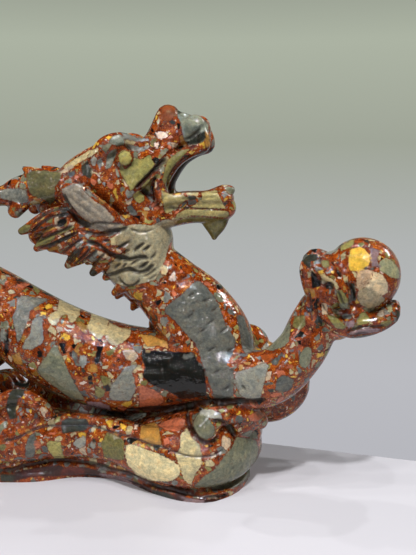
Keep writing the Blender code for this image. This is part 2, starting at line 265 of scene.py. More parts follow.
def body(bm):
    """The coil, from the chest over a hump behind to the root of the tail."""
    tube(bm, """
        128 0 100 37 38, 96 -3 89 35 34, 60 -5 88 35 36, 25 -6 95 36 37, -5 -6 107 35 36,
        -35 -4 124 32 33, -65 0 141 30 30, -95 4 152 29 29, -125 7 149 28 28, -149 8 130 26 26,
        -158 7 101 24 24, -158 5 70 21 22, -171 3 50 18 18, -195 2 48 14.5 14.5, -215 2 61 12 12,
        -224 2 83 10 10, -219 2 104 8 8
    """)


def tail_tuft(bm):
    """Flame-like locks at the tip of the tail."""
    for tip_x, tip_z, lean in ((-192, 134, 4), (-210, 146, 0), (-231, 134, -4)):
        sweep(bm, [
            (-221, 2, 92, 7, 8), ((tip_x - 218) / 2, 2 + lean / 2, 115, 6.5, 8),
            (tip_x, 2 + lean, tip_z, 1.4, 1.4),
        ])


def neck(bm):
    """The chest and the neck, up into the back of the head."""
    tube(bm, """
        122 0 92 36 38, 123 0 112 35 39, 111 0 136 31 34, 93 0 155 27 28.5, 77 0 169 25 27,
        62 0 184 25 29, 46 0 204 24 30
    """)
    tube(bm, "64 0 212 24 20, 75 0 198 25.5 20, 79 0 186 25.5 18, 84 0 174 24.5 14, 90 0 161 20 8")


def skull(bm):
    """The head from the nape to the nose, with the brows, the nostrils, the eyes and the lips."""
    tube(bm, """
        0 0 224 19 17, 22 0 233 25 27, 44 0 240 27 32, 62 0 245 26 31, 76 0 255 22 22,
        86 0 265 18 16, 99 0 276 15 13.5, 113 0 279 14 12
    """)
    # The bump that the muzzle rises to, and the nose in front of it
    tube(bm, "79 0 260 17 13, 88 0 276 15.5 11.5, 93.5 0 291 13 10")
    tube(bm, "94 0 286 13 12, 106 0 283 13.5 11, 116 0 280 13.5 11.5")
    lump(bm, (116, 0, 274), (11, 13, 11))
    lump(bm, (63, 0, 227), (26, 25, 22))
    for sign in (NEAR, FAR):
        lump(bm, (116, sign * 9.5, 284), (9, 7.5, 8.5), -20)
        # The brow, a leaf that rises from the temple to the root of the muzzle
        tube(bm, """
            38 22 258 4 5, 49 22 268 6 8, 60 18 272.5 6 7, 72 13 270 5 5, 80 11 272 4 4
        """, sign)
        lump(bm, (63.5, sign * 19, 257), (11.5, 8, 8.5), -30)
        lump(bm, (64.5, sign * 23.5, 258.5), (EYE_RADIUS / UNIT,) * 3)
        # The ridge of the cheek, and the lip from the nose round the corner of the mouth
        tube(bm, "98 15 268 3.5 5, 88 19 256 4.5 6, 76 22.5 243 5 6.5, 66 24.5 231 3.5 4", sign)
        tube(bm, """
            120 9 282 6 5, 124 10 274 6 4.5, 123.5 10.5 267.5 5.5 4.2, 114 11.5 265 6.5 4.8,
            102.5 12.5 258 7.5 5.2, 93.5 13.5 246 8 5.5, 90 14 235 8 5.5, 93 14 227 8 6
        """, sign)


def jaw(bm):
    """The lower jaw, with its lips, the tip of the tongue and the tuft on the chin."""
    tube(bm, """
        70 0 216 22 17, 92 0 218 17 14, 110 0 219.5 14 11.5, 128 0 220 13 11, 138 0 221 11 9.5
    """, power=2.4)
    tube(bm, "104 0 229 7 4, 124 0 230.5 7 4, 137 0 234.5 6.5 4.5, 142.5 0 234.5 5 4")
    for sign in (NEAR, FAR):
        tube(bm, """
            94 17.5 228 3.5 4, 110 14 229.5 2.8 4, 128 12.5 229.5 2.8 4, 140 8 229 3.5 4,
            141.5 2 228 4 4
        """, sign)
    tube(bm, "130 0 217 9 14, 130.5 0 206 6 9, 130 0 197.5 2.5 2.5")


def horns_and_ears(bm):
    """The horns, swept back over the neck, and the ears below them."""
    for sign in (NEAR, FAR):
        # A horn that flares, with a prong above and a knob below, and runs back to a point
        tube(bm, """
            30 14 244 8 9, 10 17 238 8 11.5, -8 19 236 8 13, -24 20 233 7.5 12, -38 21 229.5 7 8,
            -56 21 228 6.5 7, -78 20 231 4.5 5, -94 18 237 1.5 1.5
        """, sign)
        tube(bm, "2 19 238 6.5 10.5, -10 19.5 245.5 5.5 7.5, -19 20 251.5 1.8 2", sign)
        tube(bm, "-24 20.5 224 6.5 9, -28 20.5 217 5 6", sign)
        # A leaf-shaped ear
        tube(bm, """
            65 24 205.5 5 5, 54 29 212.5 5 8.5, 42 33 220.5 4.5 10.5, 32 35.5 228 4 11,
            25 37 233.5 3.5 9, 19.5 38 238 2.2 4
        """, sign)


# Each lock of the mane on one side: root, middle and tip as (x, y, z), and its half width
LOCKS = [
    ((32, 24, 220), (5, 27, 212), (-23, 20, 201.5), 8.5),
    ((36, 25, 211), (14, 28, 202), (-11, 19, 188), 9.5),
    ((42, 26, 206), (22, 28, 194), (0, 18, 188), 9.5),
    ((48, 26, 204), (32, 28, 189), (14, 17, 174.5), 9.5),
    ((57, 26, 203), (45, 28, 189), (31, 18, 178), 9),
    ((66, 22, 202), (54, 24, 187), (34, 15, 168.5), 8),
    ((86, 17.5, 188), (67, 20.5, 179), (44, 13, 165), 7.5),
    ((80, 18, 173), (67, 19, 165), (51, 12, 152.5), 7.5),
]


def mane(bm):
    """Locks that sweep back and down from the cheek on each side, filled in behind."""
    tube(bm, "40 0 212 22 22, 10 0 204 19 19, -14 0 198 13 11")
    for sign in (NEAR, FAR):
        for root, middle, tip, half in LOCKS:
            sweep_side(bm, sign, [(*root, 5, half * 0.8), (*middle, 6, half), (*tip, 3, 3.2)])


# The tips of the fins down the back of the neck
FIN_TIPS = [(49.5, 147), (62.5, 138), (78, 125)]


def fins(bm):
    """A ridge with small fins down the back of the neck, to where it meets the coil."""
    tube(bm, """
        40 0 184 15 12, 53 0 169 14 12, 60 0 158 12 10, 67 0 150 10 9, 78 0 143 8 9, 90 0 134 8 9
    """)
    for x, z in FIN_TIPS:
        sweep(bm, [(x + 13, 0, z + 12, 6, 8), (x + 4, 0, z + 5.5, 4, 6), (x, 0, z, 2.5, 2.5)])


def near_arm(bm):
    """The arm that holds the pearl out, up to the palm."""
    tube(bm, """
        108 -6 94 28 32, 132 -14 91 27 30, 158 -19 88 24 25, 181 -20 93 21 21.5,
        200 -18 112 19 19.5, 210 -16 132 18 19, 217 -14 146 17 18
    """)


# Two fingers and the edge of the palm on one side, measured from the pearl's middle
FINGERS = [
    [
        (-28, 8, -22, 10, 10), (-35.5, 12, -7, 8, 9), (-37, 14.5, 7.5, 8.5, 9.5),
        (-30, 20, 8, 7.5, 7.5), (-22, 25.5, 2.5, 6.5, 6.5), (-15.5, 28, -7, 5, 5),
        (-13, 27.5, -18, 3.5, 4),
    ],
    [
        (-22, 10, -32, 11, 11), (-6, 14, -37, 9.5, 9), (10, 13, -34, 8.5, 8),
        (21, 8, -28, 7.5, 7.5), (24, 5, -24, 5, 5),
    ],
    [(-33, 16, -15, 5, 6), (-28, 19, -25, 5, 5), (-18, 21, -32, 5, 5), (3, 14, -31, 3, 4)],
]


def pearl_and_claws(bm):
    """The pearl, the palm under it and the four fingers that grip it."""
    x, mid, z = 246, -14, 172.5
    lump(bm, (x, mid, z), (PEARL_RADIUS / UNIT,) * 3)
    lump(bm, (x - 22, mid, z - 13), (17, 18, 20))
    lump(bm, (x - 6, mid, z - 24), (22, 17, 14))
    lump(bm, (x - 20, mid, z + 7.5), (14, 22, 10.5))
    lump(bm, (x - 19, mid, z - 39), (14, 15, 12))
    for sign in (NEAR, FAR):
        for finger in FINGERS:
            sweep(bm, [(x + a, mid + sign * b, z + c, *half) for a, b, c, *half in finger])
        lump(bm, (x - 23, mid + sign * 11, z - 10), (14, 16.5, 17))
        lump(bm, (x - 19, mid + sign * 13, z + 6), (12, 11, 9))
        lump(bm, (x - 7, mid + sign * 13, z - 26), (13, 10, 8))
        lump(bm, (x - 10, mid + sign * 8, z - 37), (22, 13, 9))


def far_arm(bm):
    """The other arm: its shoulder shows over the near arm, and its paw rests on the base."""
    lump(bm, (153, 33, 102), (19, 17, 19))
    tube(bm, "128 14 88 24 25, 160 32 88 20 21, 184 37 72 19 22, 176 38 54 17 18, 152 38 48 15 14")


def hind_legs(bm):
    """Both hind legs, folded beside the coil with their feet on the base."""
    for sign in (NEAR, FAR):
        tube(bm, """
            -128 18 138 14 20, -108 28 126 15 25, -86 36 108 14 22, -76 41 90 12 15,
            -92 43 74 10.5 12, -108 43 64 10 11, -96 43 57 11 9.5, -74 43 55 11 8.5
        """, sign)
        for spread in (-9, 0, 9):
            sweep_side(bm, sign, [
                (-84, 43 + spread * 0.6, 57, 6, 7), (-68, 43 + spread, 59, 5.5, 7),
                (-57, 43 + spread * 1.2, 52, 2.2, 3),
            ])


# The rolled side of the cloud base: x, distance from the middle, z, half width, half height
ROLL = """
    -154 0 32 14 17, -150 20 32 15 18, -139 34 33 16 20, -118 41 34 17 22, -85 43 35 17 22,
    -50 42 35 16 21, -22 39 36 14.5 19.5, 5 32 37 13 18.5, 30 27 37 12.5 18, 56 29 35 13 18,
    82 38 31 15 20, 104 43 30 17 23.5, 124 42 31 18 25, 141 32 35 17 27, 150 16 40 14 28,
    153 0 42 13 28
"""

# The curls on it, one at the front and one further back, drawn the same way
FRONT_CURL = """
    168 16 55 9 8, 160 29 62 9 8, 150 38 66.5 9 8, 140 43 66 10 8, 133 45.5 60.5 11 9.5,
    131 46.5 53 11 10, 131.5 47 47 9 8
"""
BACK_CURL = """
    3 36 48 6 6, 0 41 61 6 6, -12 44 71 6 6, -28 45 71 6.5 6, -40 44 62 6.5 6, -47 43 50 6 6
"""


def cloud_base(bm):
    """A rounded cloud: a low core inside a rolled side, with curls on top of it."""
    tube(bm, """
        -136 0 26 34 20, -106 0 28 44 23, -60 0 28 44 22, -20 0 26 40 19, 10 0 24 32 18,
        40 0 24 28 18, 75 0 28 36 22, 108 0 34 44 28, 136 0 40 34 34
    """, power=2.6)
    foot = [(x, middle, 10.5, half - 11, 7) for x, middle, _, half, _ in written(ROLL)]
    for sign in (NEAR, FAR):
        tube(bm, ROLL, sign, side=(1, 0, 0), power=2.3)
        sweep_side(bm, sign, foot, side=(1, 0, 0), power=2.6)
        tube(bm, FRONT_CURL, sign)
        lump(bm, (150, sign * 20, 57), (20, 20, 16))
        tube(bm, BACK_CURL, sign)
        lump(bm, (-21, sign * 40, 55), (17, 10.5, 14))


# The plinth's outline on one side, from the back to the front
PLINTH = [
    (-160, 0), (-147, 34), (-116, 49), (-80, 51), (-36, 47), (-8, 41), (14, 29), (36, 24), (62, 29),
    (92, 48), (118, 57), (139, 53), (155, 31), (160, 0),
]


def plinth(bm):
    """The foot of the base: a thin plate with a wavy edge that stands on the table."""
    near = smooth_rows([(x, -y, 0.0) for x, y in PLINTH], PLINTH_STEP)
    outline = list(near) + [(x, -y, z) for x, y, z in near[-2:0:-1]]
    bottom = [bm.verts.new((x, y, -FLOOR_ALLOWANCE)) for x, y, _ in outline]
    face = bm.faces.new(bottom)
    risen = bmesh.ops.extrude_face_region(bm, geom=[face])["geom"]
    lifted = [v for v in risen if isinstance(v, bmesh.types.BMVert)]
    height = PLINTH_HEIGHT / UNIT + FLOOR_ALLOWANCE
    bmesh.ops.translate(bm, verts=lifted, vec=(0, 0, height))


FORMS = (
    body, tail_tuft, neck, skull, jaw, horns_and_ears, mane, fins, near_arm, pearl_and_claws,
    far_arm, hind_legs, cloud_base, plinth,
)


def joined_forms():
    """Every form as one mesh of overlapping closed shapes."""
    bm = bmesh.new()
    for form in FORMS:
        form(bm)
    return finished(bm, "forms")


def finished(bm, name):
    """A mesh of what was drawn, facing outward."""
    bmesh.ops.recalc_face_normals(bm, faces=bm.faces)
    mesh = bpy.data.meshes.new(name)
    bm.to_mesh(mesh)
    bm.free()
    return mesh


def placed(name, data):
    """A new object in the scene."""
    made = bpy.data.objects.new(name, data)
    bpy.context.scene.collection.objects.link(made)
    return made


def with_modifiers(mesh, *modifiers, kept=None):
    """A new mesh: mesh after modifiers, each given as its type and its settings.

    The numbers of the vertices to be kept dense go into the vertex group "kept".
    """
    holder = placed("holder", mesh)
    if kept is not None:
        group = holder.vertex_groups.new(name="kept")
        for i in kept:
            group.add([int(i)], KEPT_WEIGHT, "REPLACE")
    for kind, settings in modifiers:
        modifier = holder.modifiers.new(kind.lower(), kind)
        for name, value in settings.items():
            setattr(modifier, name, value)
    graph = bpy.context.evaluated_depsgraph_get()
    graph.update()
    made = bpy.data.meshes.new_from_object(holder.evaluated_get(graph))
    bpy.data.objects.remove(holder)
    return made


def rows_of(items, name, width, kind=float):
    """A property of a mesh's vertices or edges, a row for each."""
    flat = np.empty(len(items) * width, dtype=kind)
    items.foreach_get(name, flat)
    return flat.reshape(-1, width)


def points_of(mesh):
    return rows_of(mesh.vertices, "co", 3)


def normals_of(mesh):
    return rows_of(mesh.vertex_normals, "vector", 3)


def edges_of(mesh):
    return rows_of(mesh.edges, "vertices", 2, int)


def tree_of(mesh):
    """A mesh's faces, ready for rays."""
    faces = [tuple(face.vertices) for face in mesh.polygons]
    return BVHTree.FromPolygons([Vector(p) for p in points_of(mesh)], faces)


def move_points(mesh, points):
    mesh.vertices.foreach_set("co", np.ascontiguousarray(points).ravel())
    mesh.update()


def averaged(values, edges, times):
    """Values on the vertices, each spread to its neighbours a number of times."""
    count = np.bincount(edges.ravel(), minlength=len(values)) + 1.0
    for _ in range(times):
        total = values.copy()
        for start, end in ((0, 1), (1, 0)):
            total += np.bincount(edges[:, start], values[edges[:, end]], len(values))
        values = total / count
    return values


def smooth_step(low, high, values):
    t = np.clip((values - low) / (high - low), 0, 1)
    return t * t * (3 - 2 * t)


class Seen:
    """What a view sees of a mesh: where each vertex is in the picture, and how openly it shows."""

    def __init__(self, view, mesh, tree):
        points, normals = points_of(mesh), normals_of(mesh)
        self.view, self.tree = view, tree
        self.pixels, self.depth = view.project(points)
        away = points - view.place
        away /= np.linalg.norm(away, axis=1)[:, None]
        facing = -(away * normals).sum(axis=1)
        shows = np.zeros(len(points))
        start = Vector(view.place)
        for i in np.flatnonzero(facing > 0):
            hit, _, _, reach = tree.ray_cast(start, Vector(away[i]))
            real = np.linalg.norm(points[i] - view.place)
            shows[i] = hit is None or reach > real - HIDDEN_BEHIND
        shows = averaged(shows, edges_of(mesh), SHOWN_SPREAD)
        self.shows = smooth_step(*SHOWN_RISE, shows) * smooth_step(*FACING_RISE, facing)

    def depth_at(self, pixel):
        """How deep the surface lies at a pixel, or None where the view passes by."""
        ray = Vector(self.view.ray(pixel)).normalized()
        hit, *_ = self.tree.ray_cast(Vector(self.view.place), ray)
        if hit is None:
            return None
        return float((np.array(hit) - self.view.place) @ self.view.forward)

    def depths_along(self, line):
        """The depth of the surface at pixels, with gaps filled from their neighbours."""
        depths = [self.depth_at(pixel) for pixel in line]
        known = [i for i, depth in enumerate(depths) if depth is not None]
        if not known:
            return None
        return np.interp(np.arange(len(line)), known, [depths[i] for i in known])

    def around(self, line, margin):
        """Whether each vertex is in the picture's box round a line."""
        low, high = line.min(axis=0) - margin, line.max(axis=0) + margin
        return np.all((self.pixels > low) & (self.pixels < high), axis=1)


def numbers(text):
    """Pixels written as 'x,y x,y ...'."""
    return np.array([[float(n) for n in pair.split(",")] for pair in text.split()])


def written_rows(text):
    """The rows of a table, without its headings and empty ones."""
    return [row for row in text.splitlines() if row and not row.startswith("#")]


# Lines cut into the stone, in the photograph's pixels: depth, half width, and the way they run
CUTS = """
# The cheek and the mouth
4.2 2.5 167,157 158,167 146,179 134,191
3.2 2.2 139,188 145,191 150,196 153,201
1.1 1.3 128,150.5 133,154.5 134.2,160 131,165.5 125,167.8 119.5,166
1.6 2.0 183,141 190,138 197,133 203,125
1.2 1.3 148,211 155,206 162,200
1.3 1.3 190,155 178,165 170,176 168,187 173,195
1.4 1.2 168,208 177,208 187,207.5 200,208.5 213,209.5 226,210
0.8 1.3 176,199 190,199 204,198 218,196
1.0 1.5 112,150 117,147 124,146 131,150 134,157
0.9 1.3 113,158 114,165 119,169 126,168 132,164
0.8 1.5 176,104 178,111 184,116 194,119 201,121
0.9 1.6 184,141 192,146 201,146
# Under and along the ear
3.0 2.6 62,192 66,203 73,213 82,222 92,226
2.2 1.8 80,230 92,233 106,234 120,232 127,227
1.4 1.5 76,222 88,224 100,223 112,224 124,224
0.8 1.8 66,194 76,203 88,212 99,220
0.8 1.8 71,189 82,197 93,206 106,217
1.2 1.8 86,183 92,192 97,199 106,206 114,217
# The mane
2.6 2.0 70,209 60,208 50,210 41,216 29,224
2.4 1.8 68,214 58,215 49,218 38,226 30,236
2.6 2.0 74,224 66,229 56,233 43,238 33,242
2.4 1.8 80,230 70,236 60,241 50,246 37,248
2.4 2.0 83,238 75,244 68,249 60,258
2.4 2.0 86,243 81,250 75,257 66,267
2.2 1.8 92,246 86,254 78,262 72,268
2.2 1.8 98,248 91,256 82,264 75,269
2.2 1.8 107,252 99,260 91,268
1.1 1.2 64,211 54,213 44,219 34,228
1.1 1.2 70,220 60,224 48,229 36,237
1.1 1.2 77,228 66,233 54,239 40,245
1.1 1.2 80,236 70,242 62,249
1.1 1.2 84,241 76,249 68,260
1.1 1.2 95,248 88,256 79,265
# The hair of the throat
3.4 2.2 85,242 93,243 100,246.5 107,252 114,256.5 122,258 130,259 137,257.5 144,257.5 150,259
2.8 2.0 103,275 110,275 116,273.5 122,271 129,269.5 134,271 139,272.5 146,271 151,267.5 156,263
2.8 1.7 113,250 119,247.5 126,244 132,241
2.6 1.5 132,252.5 137,248 142,244.5 147,242
2.6 1.5 141,253 145,249.5 150,246 153,244.5
1.4 1.2 122,254 127,251 131,248.5
2.5 1.5 129,267 133,263.5 138,260.5 143,259.5
2.5 1.5 137,270 142,266.5 147,263 151,261
2.2 1.4 144,271 149,267.5 154,263
2.1 1.5 106,268 110,264 115,261
2.1 1.5 112,271 117,266 122,262.5
2.1 1.5 119,270 124,265.5 128,262
1.8 1.5 118,275 120,281 126,286 133,286 138,282 139,277
1.8 1.4 140,277 147,275 153,271 159,267
1.6 1.3 146,281 153,277 160,272
1.8 1.4 148,261 153,257 158,251
1.8 1.4 120,262 126,260 133,256
1.4 1.4 134,291 141,288 148,288
1.6 1.5 128,299 136,302 144,303
1.5 1.4 128,227 136,231 146,231.5 156,228
2.6 2.0 91,235.5 99,234.5 108,232 117,231 125,229 130,225
2.0 1.6 100,241 106,241 112,240
# Short cuts along the neck
1.5 1.5 186,298 191,295 197,291
1.5 1.5 201,302 207,300 213,297
1.5 1.5 209,311 215,309 221,306
1.5 1.5 206,325 211,322 216,318
1.5 1.5 185,320 190,316 195,311
1.5 1.5 205,353 211,350 218,345
1.5 1.5 225,352 230,350 236,348
1.5 1.5 211,375 216,372 221,368
1.5 1.5 221,392 226,389 231,384
1.5 1.5 240,383 243,387 247,392
1.5 1.5 176,282 182,279 190,275
1.3 1.4 196,334 202,331 208,327
1.3 1.4 218,334 223,331 229,326
1.3 1.4 230,368 236,364 241,359
# The cloud base
2.8 2.0 187,408 188,420 193,433 202,442 213,442 221,436
3.2 2.3 210,421 219,421 227,425 233,432 237,440
1.6 1.6 0,442 12,440 22,436 31,431 41,427 50,426 75,425 88,425 100,428 112,432 125,435 137,439 \
150,444 162,447 175,452 187,456 200,457 212,456 220,452 226,448
2.4 2.4 0,471 12,470 25,466 37,464 50,461 60,460 70,461 87,463 100,466 112,470 131,475 150,484 \
175,490 200,496 219,497 231,496
"""

# The same for lines that the other side doesn't share
NEAR_CUTS = """
# The gap between the body and the base
3.6 2.4 104,414 120,413 136,412 150,410 165,409.5 180,408 195,405 210,403 225,402 240,402 255,402 \
268,400
# The hand: under the claw, inside the palm's edge, beside the pearl, and the tendons of the wrist
2.4 2.2 322,287 326,284.5 331,285 334,288
1.2 1.3 311,270 313,277 317,284 321,289
1.8 1.7 336,288 339,295 342,302 347,307
0.9 1.3 323,293 326,299 330,304 336,309 346,309 354,307
1.2 1.6 345,280 350,287 353,295 353,302
1.3 1.4 320,301 325,309 332,315 341,317 352,316 362,312
1.6 1.6 308,288 309.5,300 311,312 312,324
1.2 1.3 313,296 315,306 318,318
1.2 1.4 302,298 300,310 300,322
2.0 1.7 344,333 356,329 368,327 380,327 388,325
1.4 1.4 350,336 360,334 372,333
1.6 1.6 312,251 318,254 320,259 317,264
"""


def to_segment(pixels, start, end):
    """Where along a segment pixels are nearest to it, from 0 to 1, and how far from it."""
    edge = end - start
    t = np.clip(((pixels - start) @ edge) / (edge @ edge), 0, 1)
    return t, np.linalg.norm(pixels - start - t[:, None] * edge, axis=1)


def line_distance(pixels, line, depths):
    """How far pixels are from a line, how deep the surface is along it, and its taper there."""
    best = np.full(len(pixels), np.inf)
    level = np.zeros(len(pixels))
    along = np.zeros(len(pixels))
    lengths = np.linalg.norm(np.diff(line, axis=0), axis=1)
    run = np.concatenate([[0], np.cumsum(lengths)])
    for i, (start, end) in enumerate(zip(line, line[1:])):
        t, far = to_segment(pixels, start, end)
        nearer = far < best
        best = np.where(nearer, far, best)
        level = np.where(nearer, depths[i] + t * (depths[i + 1] - depths[i]), level)
        along = np.where(nearer, run[i] + t * lengths[i], along)
    ends = np.minimum(along, run[-1] - along) / min(CUT_TAPER, run[-1] / 2)
    return best, level, smooth_step(*TAPER_RISE, ends)


def cut_depths(seen, cuts):
    """How deep each vertex is cut."""
    cut = np.zeros(len(seen.pixels))
    for row in written_rows(cuts):
        depth, width, pixels = row.split(" ", 2)
        depth, width, corners = float(depth), float(width), numbers(pixels)
        line = smooth_rows(np.column_stack([corners, np.zeros(len(corners))]), CUT_STEP)[:, :2]
        depths = seen.depths_along(line)
        if depths is None:
            continue
        near = np.flatnonzero((seen.shows > 0) & seen.around(line, CUT_REACH * width))
        far, level, taper = line_distance(seen.pixels[near], line, depths)
        groove = depth * np.exp(-((far / width) ** 2)) * taper
        groove *= seen.shows[near] * (abs(seen.depth[near] - level) < SAME_SURFACE)
        cut[near] = np.maximum(cut[near], groove)
    return cut


def folds(mesh):
    """How far each vertex lies in a fold of the surface, from 0 to 1."""
    points, edges = points_of(mesh), edges_of(mesh)
    around = np.stack([averaged(column, edges, FOLD_SPREAD) for column in points.T], axis=1)
    return smooth_step(*FOLD_RECESS, ((around - points) * normals_of(mesh)).sum(axis=1))


def openness(mesh):
    """How open each vertex is to what is around it, from 0 in a deep gap to 1."""
    points, normals = points_of(mesh), normals_of(mesh)
    tree = tree_of(mesh)
    starts = [Vector(p) for p in points + normals * OPEN_START]
    chance = np.random.default_rng(OPEN_SEED)
    total = np.zeros(len(points))
    for _ in range(OPEN_RAYS):
        scattered = chance.normal(size=points.shape)
        ways = normals + scattered / np.linalg.norm(scattered, axis=1)[:, None]
        for i, way in enumerate(ways):
            reach = tree.ray_cast(starts[i], Vector(way).normalized(), OPEN_REACH)[3]
            total[i] += 1.0 if reach is None else reach / OPEN_FULL
    return averaged(total / OPEN_RAYS, edges_of(mesh), OPEN_SPREAD)


def carve(mesh):
    """Cuts the lines into a mesh, alike on both sides where both have them.

    Gives what the photograph sees of it, and how far each vertex lies in a cut or a fold.
    """
    tree = tree_of(mesh)
    near, far = Seen(PHOTO, mesh, tree), Seen(MIRROR, mesh, tree)
    cut = np.maximum(cut_depths(near, CUTS + NEAR_CUTS), cut_depths(far, CUTS))
    move_points(mesh, points_of(mesh) - normals_of(mesh) * cut[:, None])
    return near, np.maximum(smooth_step(*CUT_RECESS, cut), folds(mesh))


def flatten_underside(mesh):
    """Brings what hangs under the floor up to it."""
    points = points_of(mesh)
    points[:, 2] = np.maximum(points[:, 2], 0.0)
    move_points(mesh, points)


def bring_to_size(mesh):
    """Brings a mesh in drawn units to metres, inside the CAD's box."""
    low, high = np.array(CAD_BOX) / UNIT
    move_points(mesh, np.clip(points_of(mesh), low, high) * UNIT)


# Colours of the stone, as they look on a screen, from 0 to 255
TINTS = {
    "slate": (97, 99, 95), "grey": (132, 133, 126), "light_grey": (166, 165, 156),
    "grey_green": (120, 122, 103), "olive": (122, 116, 70), "olive_yellow": (148, 142, 86),
    "cream": (182, 168, 130), "jaw": (176, 164, 112), "yellow": (216, 174, 68),
    "salmon": (190, 108, 78), "pink_white": (222, 200, 184), "pink_grey": (196, 176, 152),
    "black": (19, 19, 17), "dark": (52, 54, 46), "ochre": (168, 124, 62), "orange": (156, 76, 34),
    "ear": (150, 141, 129), "ear_light": (158, 148, 136), "nose": (118, 124, 112),
    "horn": (98, 94, 66), "throat": (154, 147, 123), "plum": (84, 40, 34), "mauve": (140, 118, 124),
    "pearl": (206, 186, 154), "sage": (146, 146, 116), "peach": (198, 168, 138),
    "brown": (126, 68, 36), "umber": (60, 35, 30), "pale": (216, 202, 158), "fawn": (164, 150, 120),
}

